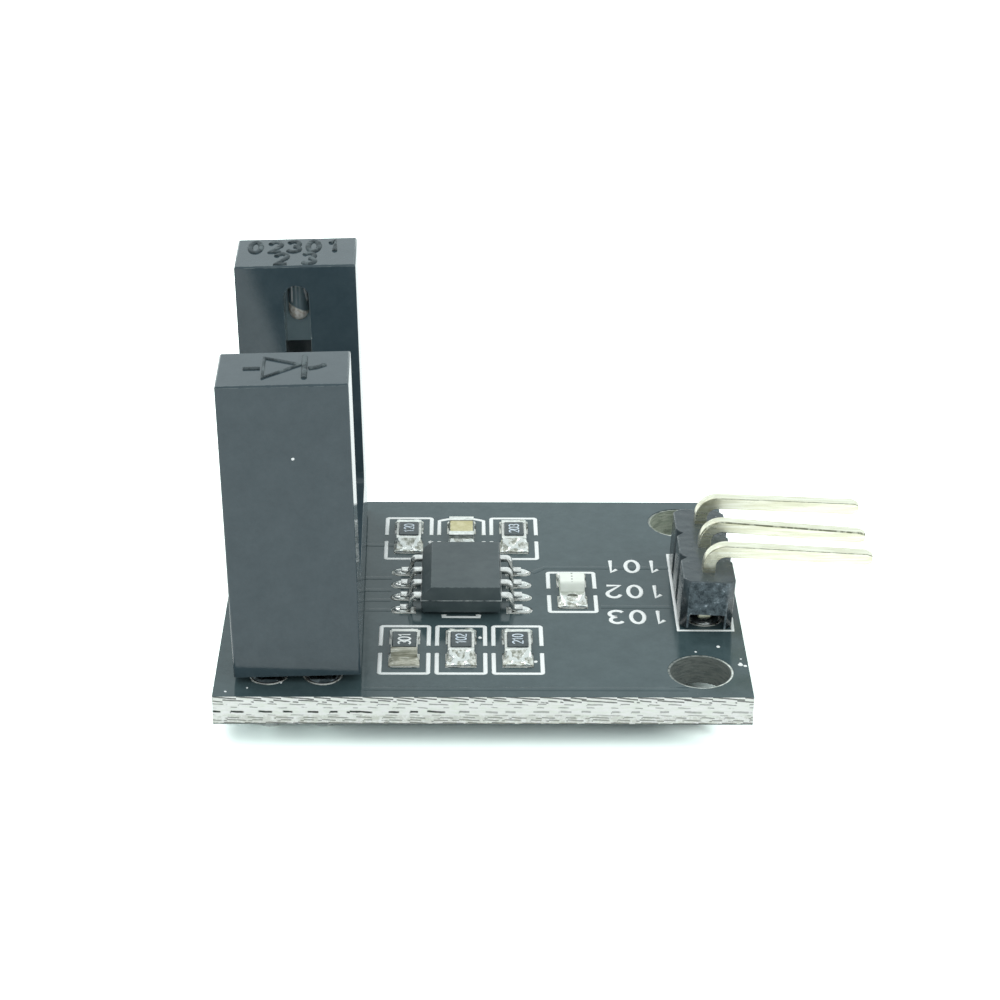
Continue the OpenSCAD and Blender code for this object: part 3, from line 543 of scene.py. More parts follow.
# Legend
# White ink screened on the mask: an outline round each chip part, two short lines at the
# comparator, a box round the header and a plain number beside each pin.
def edge_wear_group():
    """The share of an edge lightened as wear and as a painted highlight: its bevel, broken up by a pattern.
    """
    group, given = mask_group("edge_rub_and_painted_highlight", "Lumps", "Amount")
    edge = attribute(group, "edge")
    broken = smooth_step(cloudy(given["Place"], given["Lumps"], 4.0), 0.38, 0.62)
    follow("NodeGroupOutput", {"Mask": times(edge, broken, given["Amount"])})
    return group


edge_rub_and_painted_highlight = edge_wear_group()


def softened(node, radius, segments=2, crease=28, wanted=None):
    """A copy of a CAD node's mesh with its sharp edges rounded; its bevels carry edge = 1."""
    shape = bmesh.new()
    shape.from_mesh(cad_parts[node].data)
    bmesh.ops.remove_doubles(shape, verts=shape.verts, dist=0.0005 * mm)
    bmesh.ops.dissolve_limit(shape, angle_limit=radians(0.6), verts=shape.verts, edges=shape.edges)
    sharp = [e for e in shape.edges if len(e.link_faces) == 2 and e.calc_face_angle() > radians(crease)]
    if wanted:
        sharp = [e for e in sharp if wanted(e.verts[0].co, e.verts[1].co)]
    edge = shape.faces.layers.float.new("edge")
    rounded = bmesh.ops.bevel(
        shape,
        geom=sharp,
        offset=radius * mm,
        offset_type="OFFSET",
        segments=segments,
        profile=0.5,
        affect="EDGES",
        clamp_overlap=True,
        material=-1,
    )
    for face in rounded["faces"]:
        face[edge] = 1.0
    for face in shape.faces:
        face.smooth = True
    mesh = as_mesh(shape, node + "_softened")
    mesh.set_sharp_from_angle(angle=radians(50))
    return mesh


def flatten_shading(piece):
    """Keeps the flat faces looking flat beside their rounded edges."""
    weighted = piece.modifiers.new("flat_faces", "WEIGHTED_NORMAL")
    weighted.keep_sharp = True
    weighted.weight = 60


def dress_node(name, node, finish, slot, radius, *bevel, **edges):
    """Shows a CAD node by a piece of the same form with its edges softened."""
    mesh = softened(node, radius, *bevel, **edges)
    flatten_shading(new_piece(name, mesh, finish, slot, node))


def legend_finish():
    material, place = start_finish("white_legend")
    thin = smooth_step(cloudy(place, 7.0, 4.0, 0.7), 0.28, 0.42)
    colour = blend_colour(thin, (0.82, 0.87, 0.87, 1), (0.97, 1.0, 1.0, 1))
    grain = relief(cloudy(place, 18.0, 3.0), 0.001)
    return end_finish(material, colour, 0.45, grain, {"IOR": 2.1})


def sweep(cx, cy, rx, ry, start, end, least=2):
    """Points along part of an oval, from one angle to another in degrees."""
    count = max(least, round(abs(end - start) / 18))
    turns = [radians(start + (end - start) * k / count) for k in range(count + 1)]
    return [(cx + rx * cos(a), cy + ry * sin(a)) for a in turns]


white_legend = legend_finish()
legend_line = 0.21
legend_rise = 0.02
legend_corner = 0.1
legend_break = 0.7
outline_w = 2.5 - legend_line
outline_l = 4.65 - legend_line
led_outline_l = 4.2 - legend_line
outline_shift = 0.07
arch_rise = 0.3
circuit_y = 10.0
comparator_x = 11.46
comparator_l = 4.9
chip_step = 2.69
row_shift = 5.65
led_shift = 5.47
rows_and_steps = [(row, step) for row in (-1, 1) for step in (-1, 0, 1)]
chip_spots = [(comparator_x + step * chip_step, circuit_y + row * row_shift) for row, step in rows_and_steps]
led_spot = (comparator_x + led_shift, circuit_y)
capacitor_spot = chip_spots[4]


def outline_half(spot, length, side, rise=0.0):
    """Half of a chip part's outline: two legs and a line across, arched where it has a rise."""
    w = outline_w / 2
    end = length / 2 - rise
    across = sweep(-w + legend_corner, end - legend_corner, legend_corner, legend_corner, 180, 90)
    if rise:
        bow = (w**2 + rise**2) / (2 * rise)
        half_turn = degrees(asin(w / bow))
        across = sweep(0, length / 2 - bow, bow, bow, 90 + half_turn, 90, 9)
        across = [(x, y) for x, y in across if x < -0.01] + [(0.0, length / 2)]
    left = [(-w, legend_break / 2)] + across
    points = left + [(-x, y) for x, y in reversed(left) if x < 0]
    return [(spot[0] + x, spot[1] - outline_shift + side * y) for x, y in points]


resistor_spots = [spot for spot in chip_spots if spot != capacitor_spot]
outlines = [outline_half(spot, outline_l, side) for spot in resistor_spots for side in (-1, 1)]
outlines += [outline_half(led_spot, led_outline_l, side) for side in (-1, 1)]
outlines.append(outline_half(capacitor_spot, outline_l, -1))
outlines.append(outline_half(capacitor_spot, outline_l, 1, arch_rise))

# The box round the pin header, open towards the pins' arms, and a drop of ink that fell
header_x = 23.25
header_pitch = 2.54
header_room = 2 * 0.15 - legend_line
header_leg = 1.3
box_left, box_right = (header_x + side * (header_pitch + header_room) / 2 for side in (-1, 1))
box_front, box_back = (circuit_y + side * (3 * header_pitch + header_room) / 2 for side in (-1, 1))
outlines.append(
    [(box_right, box_front + header_leg), (box_right, box_front), (box_left, box_front)]
    + [(box_left, box_back), (box_right, box_back), (box_right, box_back - header_leg)]
)
outlines.append([(9.80, 15.10), (9.94, 15.24)])
legend_mesh = drawn_lines(outlines, legend_line, legend_rise, to_mask)
new_piece("legend_lines", legend_mesh, white_legend, "white_legend", "legend")

# The comparator's two marks are a little bolder than the rest of the print
mark_line = 0.28
mark_w = 1.95 - mark_line
mark_tick = 0.22
mark_left, mark_right = (comparator_x + side * mark_w / 2 for side in (-1, 1))
marks = []
for side in (-1, 1):
    mark_y = circuit_y + side * (comparator_l + mark_line) / 2
    tick_y = mark_y - side * mark_tick
    marks.append([(mark_left, tick_y), (mark_left, mark_y), (mark_right, mark_y), (mark_right, tick_y)])
marks_mesh = drawn_lines(marks, mark_line, legend_rise, to_mask)
new_piece("comparator_marks", marks_mesh, white_legend, "white_legend")

# Strokes of four plain figures in a cell 0.6 wide and 1 high
oval = sweep(0.3, 0.5, 0.27, 0.5, 0, 342)
figures = {
    "0": [oval + [oval[0]]],
    "1": [[(0.1, 0.78), (0.33, 1.0), (0.33, 0.0)]],
    "2": [sweep(0.3, 0.71, 0.27, 0.29, 165, -35) + [(0.03, 0.0), (0.58, 0.0)]],
    "3": [sweep(0.28, 0.75, 0.26, 0.25, 150, -90), sweep(0.28, 0.25, 0.29, 0.25, 90, -150)],
}


def number_strokes(number, height, pitch, narrow=1.0):
    """Strokes of a plain number, centred, with its figures pitch apart."""
    strokes = []
    wide = narrow * height
    for k, figure in enumerate(number):
        left = (k - (len(number) - 1) / 2) * pitch - 0.3 * wide
        for points in figures[figure]:
            strokes.append([(left + x * wide, (y - 0.5) * height) for x, y in points])
    return strokes


# The pins' numbers stand on their heads, as the header is read from the right-hand side
number_height = 1.2
number_pitch = 1.04
number_rise = 0.022
number_x = 20.05
for number, y in (("101", 12.6), ("102", 10.0), ("103", 7.45)):
    turned = Matrix.Translation(on_board(number_x, y)) @ Matrix.Rotation(pi, 4, "Z")
    ink = drawn_lines(number_strokes(number, number_height, number_pitch), legend_line, number_rise, turned)
    new_piece("pin_number_" + number, ink, white_legend, "white_legend")


# Pads and plated holes
# Bare copper coated with tin: small oblongs under the chip parts and leads, and round pads
# joined through the board by the plating in their holes.
def metal_finish(name, dull, bright, rough_low, rough_high, lumps, depth, grain=20.0):
    """A bare metal whose tone, gloss and surface vary in lumps of a given number to a millimetre."""
    material, place = start_finish(name)
    tone = smooth_step(cloudy(place, lumps, 4.0, 0.6), 0.3, 0.7)
    colour = blend_colour(tone, dull, bright)
    # Bevelled edges lightened: partly wear and partly a painted highlight
    rub_and_painted_highlight = mask_of(edge_rub_and_painted_highlight, place, grain, 0.5)
    colour = blend_colour(rub_and_painted_highlight, colour, (0.95, 0.95, 0.93, 1))
    rough = between(cloudy(place, lumps * 2.3, 3.0), rough_low, rough_high)
    fine = relief(cloudy(place, grain, 3.0), depth * 0.25)
    surface = relief(cloudy(place, lumps, 3.0), depth, fine)
    return end_finish(material, colour, rough, surface, {"Metallic": 1.0})


tin_dull, tin_bright = (0.52, 0.53, 0.50, 1), (0.80, 0.80, 0.77, 1)
tinned_copper = metal_finish("tinned_copper", tin_dull, tin_bright, 0.18, 0.42, 3.0, 0.01)
for node in ("chip_pads", "comparator_pads"):
    dress_node("tinned_" + node, node, tinned_copper, "tinned_copper", 0.02)
for node in ("sensor_platings", "header_platings"):
    dress_node("tinned_" + node, node, tinned_copper, "tinned_copper", 0.02, crease=60)


# Slot sensor housing
# One black moulding, a bridge with two hollow towers. Its glossy walls cooled a little twisted,
# which slants what they mirror, and low signs stand on the towers, as the mould left them.
wall_middle = 19.0
wall_top = 16.0
wall_twist = 0.015
# Where the hollows inside the towers lie, which are painted lighter as painted light
hollow_middle = Vector((-19.12, 0.15, 0))
hollow_half_w = 2.42
hollow_near = 5.4
hollow_far = 8.6
hollow_roof = 16.2


def housing_finish():
    """Glossy outside, and painted a dull lighter grey inside the towers' hollows: painted light where little
    light reaches.
    """
    material, place = start_finish("housing_plastic")
    tone = cloudy(place, 0.8, 6.0, 0.75)
    colour = blend_colour(tone, (0.022, 0.042, 0.054, 1), (0.064, 0.091, 0.107, 1))
    # Bevelled edges lightened: partly wear and partly a painted highlight
    rub_and_painted_highlight = mask_of(edge_rub_and_painted_highlight, place, 2.5, 0.5)
    colour = blend_colour(rub_and_painted_highlight, colour, (0.20, 0.25, 0.26, 1))
    specks = mask_of(dust, place, 1.5, 0.07, 0.05)
    colour = blend_colour(times(specks, 0.5), colour, (0.6, 0.65, 0.65, 1))
    xyz = axes(place)
    from_beam = apart(xyz["Y"], hollow_middle.y)
    within = times(
        math("LESS_THAN", apart(xyz["X"], hollow_middle.x), hollow_half_w),
        math("GREATER_THAN", from_beam, hollow_near),
        math("LESS_THAN", from_beam, hollow_far),
        math("LESS_THAN", xyz["Z"], hollow_roof),
    )
    # Painted light: the hollows' walls are painted a lighter grey
    painted_hollow_light = blend_colour(tone, (0.13, 0.16, 0.17, 1), (0.21, 0.24, 0.25, 1))
    colour = blend_colour(within, colour, painted_hollow_light)
    rough = between(cloudy(place, 1.2, 5.0, 0.65), 0.04, 0.08)
    across = math("ADD", xyz["X"], wall_middle)
    bow = times(across, minus(wall_top, xyz["Z"]), wall_twist)
    spark = relief(cloudy(place, 16.0, 3.0, 0.6), 0.0022)
    waves = relief(cloudy(place, 0.5, 2.0), 0.006, spark)
    wall = relief(bow, 1.0, waves)
    return end_finish(material, colour, rough, wall, {"IOR": 1.56})


dress_node("fork_housing", "sensor_housing", housing_finish(), "housing_plastic", 0.028)

# The sensor was soldered a little turned, and leaning to the left
sensor_x = 3.75
sensor_w = 5.9
sensor_l = 17.64
sensor_h = 15.1
sensor_turn = radians(0.9)
sensor_lean = radians(-1.3)
tower_middle = 6.985
to_sensor = (
    Matrix.Translation(on_board(sensor_x, circuit_y))
    @ Matrix.Rotation(sensor_turn, 4, "Z")
    @ Matrix.Translation((-sensor_w / 2 * mm, 0, 0))
    @ Matrix.Rotation(sensor_lean, 4, "Y")
    @ Matrix.Translation((sensor_w / 2 * mm, 0, 0))
)

# The sign of a diode on the emitter's tower: two dashes, a triangle and a bar
sign_strokes = [
    [(-1.78, 0.03), (-1.03, 0.03)],
    [(-0.88, 1.15), (-0.88, -1.0), (0.76, 0.33), (-0.88, 1.15)],
    [(0.93, 1.25), (0.97, -1.1)],
    [(1.15, -0.08), (1.5, 0.02), (1.86, 0.3)],
]
sign_line = 0.27
sign_rise = 0.09


def sign_finish():
    """The same plastic, left dull where the mould was engraved."""
    material, place = start_finish("engraved_plastic")
    pits = cloudy(place, 5.0, 4.0, 0.7)
    pitted = smooth_step(pits, 0.35, 0.65)
    colour = blend_colour(pitted, (0.018, 0.030, 0.036, 1), (0.060, 0.082, 0.092, 1))
    rubbed = smooth_step(cloudy(place, 1.5, 3.0, 0.6), 0.50, 0.62)
    colour = blend_colour(rubbed, colour, (0.11, 0.14, 0.15, 1))
    rough = between(pits, 0.55, 0.75)
    return end_finish(material, colour, rough, relief(pits, 0.02))


engraved_plastic = sign_finish()
front_top = to_sensor @ Matrix.Translation((0, -tower_middle * mm, sensor_h * mm))
sign_mesh = drawn_lines(sign_strokes, sign_line, sign_rise, front_top)
new_piece("moulded_diode_sign", sign_mesh, engraved_plastic, "housing_plastic")

# Plain mould numbers on the detector's tower, in two rows
mould_height = 1.35
mould_narrow = 0.74
mould_rows = [
    (0.68, [("0", -2.02), ("2", -1.03), ("3", -0.12), ("0", 0.84), ("1", 1.86)]),
    (-0.92, [("2", -0.68), ("3", 0.68)]),
]
numbers_placed = [(number, x, y) for y, row in mould_rows for number, x in row]
for k, (number, x, y) in enumerate(numbers_placed, start=1):
    rear_top = to_sensor @ Matrix.Translation((x * mm, (tower_middle + y) * mm, sensor_h * mm))
    strokes = number_strokes(number, mould_height, 1.0, mould_narrow)
    mark = drawn_lines(strokes, sign_line, sign_rise, rear_top)
    new_piece(f"mould_number_{k}", mark, engraved_plastic, "housing_plastic")


# Light packages
# The emitter is cast in water-clear epoxy and the detector in a dark one that only infrared
# passes. Each has a dome towards the slot, and two tinned leads down through the board.
def clear_epoxy_finish():
    material, place = start_finish("clear_epoxy")
    flow = cloudy(place, 1.1, 3.0)
    colour = blend_colour(flow, (0.688, 0.720, 0.744, 1), (0.86, 0.90, 0.93, 1))
    rough = between(cloudy(place, 4.0, 4.0), 0.06, 0.14)
    surface = relief(flow, 0.01)
    return end_finish(material, colour, rough, surface, {"IOR": 1.54, "Transmission Weight": 0.85})


dress_node("emitter_package", "emitter", clear_epoxy_finish(), "clear_epoxy", 0.05)

# The detector's lens is the part of its front that stands out into the window
detector_mesh = softened("detector", 0.05)
lens_depth = 0.44
lens_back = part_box("detector")[0].y + lens_depth * mm
lens_faces = [face for face in detector_mesh.polygons if face.center.y < lens_back]
lens_mark = detector_mesh.attributes.new("lens", "FLOAT", "FACE")
for face in lens_faces:
    lens_mark.data[face.index].value = 1.0
lens_verts = [detector_mesh.vertices[v].co / mm for face in lens_faces for v in face.vertices]
lens_low = min(v.z for v in lens_verts)
lens_high = max(v.z for v in lens_verts)
lens_x = (min(v.x for v in lens_verts) + max(v.x for v in lens_verts)) / 2

# What is painted in the lens: the top of a pale crescent (its chip and the mirrored floor) as a share of its
# height, and two painted glints above it
painted_crescent_top = 0.34
painted_crescent_slope = 0.2
glint_left = -0.29
glint_right = 0.47
glint_lean = 0.44
glint_foot = 0.43


def detector_finish():
    """Smoky epoxy, with painted light: a pale grey case, a pale crescent in the round lower end of the lens
    for its chip and the mirrored floor, and painted glints above it.
    """
    material, place = start_finish("dark_epoxy")
    flow = cloudy(place, 1.6, 3.0)
    # Painted light: the case is painted a pale grey for the light that reaches it inside the slot
    case = blend_colour(flow, (0.26, 0.36, 0.40, 1), (0.38, 0.48, 0.52, 1))
    on_lens = attribute(material.node_tree, "lens")
    xyz = axes(place)
    across = minus(xyz["X"], lens_x)
    height = math("DIVIDE", minus(xyz["Z"], lens_low), lens_high - lens_low)
    lens = blend_colour(flow, (0.13, 0.19, 0.22, 1), (0.19, 0.26, 0.29, 1))
    # Painted reflection: a pale crescent in the lens's lower end, for its chip and the pale floor mirrored
    # there
    crest = minus(painted_crescent_top, times(across, painted_crescent_slope))
    pale = smooth_step(cloudy(place, 4.5, 4.0), 0.35, 0.62)
    chip = blend_colour(pale, (0.62, 0.56, 0.48, 1), (1.0, 0.96, 0.90, 1))
    lens = blend_colour(smooth_step(minus(crest, height), 0.0, 0.05), lens, chip)
    # Painted highlights: two white glints on the upper part of the lens
    lean = times(minus(height, glint_foot), -glint_lean)
    from_left = apart(across, glint_left)
    from_right = apart(across, math("ADD", lean, glint_right))
    painted_glint = minus(1.0, smooth_step(math("MINIMUM", from_left, from_right), 0.02, 0.06))
    upper = smooth_step(height, 0.42, 0.48)
    lens = blend_colour(times(painted_glint, upper), lens, (1.0, 1.0, 1.0, 1))
    colour = blend_colour(on_lens, case, lens)
    rough = between(cloudy(place, 4.0, 4.0), 0.04, 0.1)
    surface = relief(flow, 0.004)
    return end_finish(material, colour, rough, surface, {"IOR": 1.6})


flatten_shading(new_piece("detector_package", detector_mesh, detector_finish(), "dark_epoxy", "detector"))
lead_metal = metal_finish("lead_metal", (0.62, 0.62, 0.60, 1), (0.86, 0.86, 0.84, 1), 0.14, 0.32, 4.0, 0.006)
for k in range(1, 5):
    dress_node(f"sensor_leg_{k}", f"sensor_lead_{k}", lead_metal, "lead_metal", 0.05)

solder = metal_finish("solder", (0.72, 0.75, 0.73, 1), (0.98, 0.99, 0.96, 1), 0.14, 0.32, 6.0, 0.03)


def fluxed_finish():
    """Solder that is bright below the board and covered with dark flux above it."""
    material, place = start_finish("fluxed_solder")
    lumps = smooth_step(cloudy(place, 3.0, 4.0), 0.3, 0.7)
    flux = blend_colour(lumps, (0.03, 0.04, 0.045, 1), (0.12, 0.14, 0.15, 1))
    paler_tone = blend_colour(lumps, (0.70, 0.74, 0.72, 1), (0.96, 0.98, 0.95, 1))
    colour = blend_colour(smooth_step(axes(place)["Z"], 0.8, 1.2), paler_tone, flux)
    rough = between(lumps, 0.16, 0.4)
    surface = relief(cloudy(place, 6.0, 3.0), 0.02)
    return end_finish(material, colour, rough, surface, {"Metallic": 1.0})


for name, node, finish in (
    ("filled_sensor_solder", "sensor_solder", fluxed_finish()),
    ("filled_header_solder", "header_solder", solder),
):
    new_piece(name, softened(node, 0.03, crease=55), finish, "solder", node)


# Comparator
# An eight-lead chip in a black moulded body, drafted to its parting line and bevelled along
# its first side. Its gull-wing leads are soldered, and each toe has a drop of solder.
def chip_plastic_finish():
    material, place = start_finish("chip_plastic")
    tone = cloudy(place, 1.2, 4.0, 0.6)
    colour = blend_colour(tone, (0.034, 0.054, 0.061, 1), (0.086, 0.111, 0.117, 1))
    # Bevelled edges lightened: partly wear and partly a painted highlight
    rub_and_painted_highlight = mask_of(edge_rub_and_painted_highlight, place, 5.0, 0.4)
    colour = blend_colour(rub_and_painted_highlight, colour, (0.19, 0.22, 0.23, 1))
    rough = between(cloudy(place, 3.0, 4.0), 0.34, 0.5)
    grain = relief(cloudy(place, 24.0, 4.0, 0.7), 0.003)
    return end_finish(material, colour, rough, grain)


dress_node("comparator_case", "comparator_body", chip_plastic_finish(), "chip_plastic", 0.03)
for k in range(1, 9):
    dress_node(f"comparator_leg_{k}", f"comparator_lead_{k}", lead_metal, "lead_metal", 0.03, crease=40)


def add_to(whole, part):
    """Adds a finished bmesh to a larger one."""
    made = as_mesh(part, "part")
    whole.from_mesh(made)
    bpy.data.meshes.remove(made)


comparator_pitch = 1.27
drop_reach = 2.96
drop_half = Vector((0.46, 0.27, 0.16)) * mm
drop_sunk = 0.01
pad_rise = (pad_face - mask_face) / mm
drops = bmesh.new()
for side in (-1, 1):
    for k in range(4):
        drop = bmesh.new()
        bmesh.ops.create_uvsphere(drop, u_segments=24, v_segments=14, radius=1.0)
        for v in drop.verts:
            outward = max(0.0, v.co.x)
            v.co.y *= 1 - 0.5 * outward**2
            v.co.z *= 1 - 0.25 * outward + 0.18 * noise.noise(v.co * 1.7 + Vector((k, side, 0)))
        turn = Matrix.Rotation(0 if side > 0 else pi, 3, "Z")
        toe_y = circuit_y + (k - 1.5) * comparator_pitch
        bmesh.ops.scale(drop, vec=drop_half, verts=drop.verts)
        bmesh.ops.rotate(drop, cent=(0, 0, 0), matrix=turn, verts=drop.verts)
        toe = on_board(comparator_x + side * drop_reach, toe_y, pad_rise)
        bmesh.ops.translate(drop, vec=toe, verts=drop.verts)
        cut = bmesh.ops.bisect_plane(
            drop,
            geom=drop.verts[:] + drop.edges[:] + drop.faces[:],
            plane_co=(0, 0, pad_face - drop_sunk * mm),
            plane_no=(0, 0, 1),
            clear_inner=True,
        )
        rim = [e for e in cut["geom_cut"] if isinstance(e, bmesh.types.BMEdge)]
        bmesh.ops.contextual_create(drop, geom=rim)
        for face in drop.faces:
            face.smooth = True
        add_to(drops, drop)
drops_mesh = as_mesh(drops, "comparator_drops")
drops_mesh.set_sharp_from_angle(angle=radians(50))
new_piece("comparator_drops", drops_mesh, solder, "solder", "comparator_solder")


def plain_finish(name, low, high, rough, lumps, depth):
    """A dull finish of two near tones with a fine surface."""
    material, place = start_finish(name)
    tone = smooth_step(cloudy(place, lumps, 4.0, 0.6), 0.3, 0.7)
    colour = blend_colour(tone, low, high)
    # Bevelled edges lightened: partly wear and partly a painted highlight
    rub_and_painted_highlight = mask_of(edge_rub_and_painted_highlight, place, lumps * 2, 0.25)
    rub_and_painted_highlight_tone = tuple(min(1.0, c * 1.6 + 0.05) for c in high[:3]) + (1.0,)
    colour = blend_colour(rub_and_painted_highlight, colour, rub_and_painted_highlight_tone)
    surface = relief(cloudy(place, lumps * 4, 4.0, 0.65), depth)
    return end_finish(material, colour, rough, surface)


# The thin flash of plastic that the mould left along the parting line, patched pale as a painted highlight
comparator_w = 3.9
parting_z = 0.8
flash_line = 0.06
flash_rise = 0.025
ring = ((-1, -1), (1, -1), (1, 1), (-1, 1), (-1, -1))
flash_corners = [(i * comparator_w / 2, j * comparator_l / 2) for i, j in ring]
to_parting = Matrix.Translation(on_board(comparator_x, circuit_y, pad_rise + parting_z))
flash_mesh = drawn_lines([flash_corners], flash_line, flash_rise, to_parting)
# Pale patches on the flash are a painted highlight
flash_painted_highlight = plain_finish("flash_painted_highlight", (0.05, 0.07, 0.08, 1), (0.62, 0.66, 0.66, 1), 0.35, 1.9, 0.002)
new_piece("comparator_mould_flash", flash_mesh, flash_painted_highlight, "chip_plastic")


# Chip resistors
# White ceramic blocks with a black glaze over the resistive film, a small number printed on
# it, and a tinned band wrapped round each end. The first one's bands are dull and bare.
def dull_band_finish():
    """A dull beige band whose tin lies in level streaks, with a few bright ones."""
    material, place = start_finish("dull_band")
    streaks = cloudy(scaled(place, (0.5, 3.0, 6.0)), 1.6, 5.0, 0.7)
    tone = smooth_step(streaks, 0.36, 0.6)
    colour = blend_colour(tone, (0.22, 0.22, 0.16, 1), (0.60, 0.60, 0.51, 1))
    colour = blend_colour(smooth_step(streaks, 0.60, 0.64), colour, (0.95, 0.96, 0.90, 1))
    specks = mask_of(dust, place, 9.0, 0.3, 0.3)
    colour = blend_colour(times(specks, 0.35), colour, (0.12, 0.12, 0.08, 1))
    far_end = smooth_step(axes(place)["Y"], -5.6, -5.4)
    colour = blend_colour(far_end, colour, (0.86, 0.89, 0.86, 1))
    rough = between(streaks, 0.3, 0.5)
    return end_finish(material, colour, rough, relief(streaks, 0.03))


white_ceramic = plain_finish("white_ceramic", (0.66, 0.69, 0.66, 1), (0.86, 0.88, 0.85, 1), 0.45, 5.0, 0.006)
glaze_dark, glaze_light = (0.030, 0.045, 0.050, 1), (0.055, 0.075, 0.080, 1)
black_glaze = plain_finish("black_glaze", glaze_dark, glaze_light, 0.16, 3.0, 0.003)
band_metal = metal_finish("band_metal", (0.66, 0.68, 0.64, 1), (0.94, 0.95, 0.91, 1), 0.22, 0.42, 5.0, 0.012)
dull_band = dull_band_finish()
code_ink = plain_finish("code_ink", (0.62, 0.74, 0.86, 1), (0.82, 0.90, 0.96, 1), 0.5, 6.0, 0.002)
bold_ink = plain_finish("bold_ink", (0.86, 0.92, 0.92, 1), (0.97, 1.0, 1.0, 1), 0.5, 6.0, 0.002)
code_rise = 0.008
resistor_codes = ["301", "102", "210", "120", "203"]
for k, code in enumerate(resistor_codes, start=1):
    bare = k == 1
    for part, finish, slot in (
        ("body", white_ceramic, "white_ceramic"),
        ("glaze", black_glaze, "black_glaze"),
        ("bands", dull_band if bare else band_metal, "band_metal"),
    ):
        node = f"resistor_{k}_{part}"
        dress_node(node + "_part", node, finish, slot, 0.03)
    low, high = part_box(f"resistor_{k}_glaze")
    glaze_top = Matrix.Translation(((low.x + high.x) / 2, (low.y + high.y) / 2, high.z))
    code_h, code_pitch, code_line = (0.56, 0.36, 0.1) if bare else (0.48, 0.31, 0.078)
    strokes = number_strokes(code, code_h, code_pitch)
    code_mesh = drawn_lines(strokes, code_line, code_rise, glaze_top @ Matrix.Rotation(pi / 2, 4, "Z"))
    new_piece(f"resistor_{k}_code", code_mesh, bold_ink if bare else code_ink, "white_legend")

# Chip capacitor
# A tan ceramic block of many thin plates, fired hard, with a tinned cap over each end. It
# stands in the back row, between two resistors.
tan_ceramic = plain_finish("tan_ceramic", (0.60, 0.55, 0.27, 1), (0.76, 0.71, 0.44, 1), 0.38, 3.0, 0.006)
for part, finish, slot in (("body", tan_ceramic, "tan_ceramic"), ("bands", band_metal, "band_metal")):
    node = "capacitor_" + part
    dress_node(node + "_part", node, finish, slot, 0.05, 3)

# Indicator light
# A scrap of white board with a plated half hole at each end, and a block of clear resin
# moulded on top of it over the light's chip.
led_x, led_y = (on_board(*led_spot) / mm).xy


def led_resin_finish():
    """Milky clear resin, with a row of dark specks along its middle: the chip and its wire."""
    material, place = start_finish("led_resin")
    flow = cloudy(place, 2.5, 3.0)
    colour = blend_colour(flow, (0.88, 0.95, 0.84, 1), (0.99, 1.0, 0.96, 1))
    xyz = axes(place)
    narrow = minus(1.0, smooth_step(apart(xyz["X"], led_x - 0.02), 0.02, 0.06))
    along = minus(xyz["Y"], led_y)
    short = minus(1.0, smooth_step(math("ABSOLUTE", along), 0.42, 0.5))
    broken = smooth_step(math("SINE", times(along, 22.0)), 0.0, 0.5)
    specks = times(narrow, short, broken, 0.75)
    colour = blend_colour(specks, colour, (0.10, 0.13, 0.10, 1))
    rough = between(cloudy(place, 4.0, 4.0), 0.12, 0.22)
    surface = relief(flow, 0.006)
    return end_finish(material, colour, rough, surface, {"IOR": 1.9})


led_substrate = plain_finish("led_substrate", (0.52, 0.62, 0.42, 1), (0.76, 0.84, 0.66, 1), 0.4, 6.0, 0.004)
for part, finish, slot in (
    ("base", led_substrate, "led_substrate"),
    ("lens", led_resin_finish(), "led_resin"),
    ("bands", band_metal, "band_metal"),
):
    node = "led_" + part
    dress_node(node + "_part", node, finish, slot, 0.02)

# Solder at the chip parts
# Each end is held by a shiny fillet that climbs the band, hollow and lumpy, and runs out to
# the end of its pad. Two raised arms cross on its face, with a painted highlight along them.
chip_l = 2.0
chip_w = 1.25
chip_toe = 0.68
fillet_cells = 11
fillet_foot = 0.07
fillet_least = 0.03
ridge_half = 0.26


def chip_fillet(shape, x, y, side, height, seed):
    """Adds one fillet beside the end of a chip part, which is at y and faces side."""
    block = bmesh.new()
    bmesh.ops.create_cube(block, size=1.0)
    bmesh.ops.subdivide_edges(block, edges=block.edges, cuts=fillet_cells, use_grid_fill=True)
    painted_ridge_highlight = block.verts.layers.float.new("painted_ridge_highlight")
    for v in block.verts:
        across = 2 * v.co.x
        out = v.co.y + 0.5
        up = v.co.z + 0.5
        lump = noise.noise(Vector((across * 1.6 + seed, out * 2.2, seed * 3.7)))
        small = noise.noise(Vector((across * 4.5, out * 5.0 + seed, seed)))
        climb = (1 - out) ** (1.5 - 0.4 * lump)
        arm = abs(abs(across + 0.35 * lump) - 0.18 - 1.1 * abs(0.62 - out))
        ridge = max(0.0, 1 - arm / ridge_half)
        # How much painted highlight a point gets: along the raised arms, and in small patches
        v[painted_ridge_highlight] = min(1.0, max(0.0, 1.6 * ridge + 1.2 * small))
        lumpy = 0.07 * ridge + 0.07 * lump * (1 - out * 0.5) + 0.03 * small
        top = height * climb + fillet_foot + lumpy
        top *= 1 - 0.5 * max(0.0, abs(across) - 0.85) / 0.15
        wide = chip_w / 2 + 0.07 + 0.04 * out
        place_x = across * wide * (1 + 0.02 * lump)
        place_y = out * chip_toe * (1 + 0.02 * small) - 0.02
        v.co = on_board(x + place_x, y + side * place_y, pad_rise + up * max(fillet_least, top))
    if side < 0:
        bmesh.ops.reverse_faces(block, faces=block.faces)
    for face in block.faces:
        face.smooth = True
    add_to(shape, block)


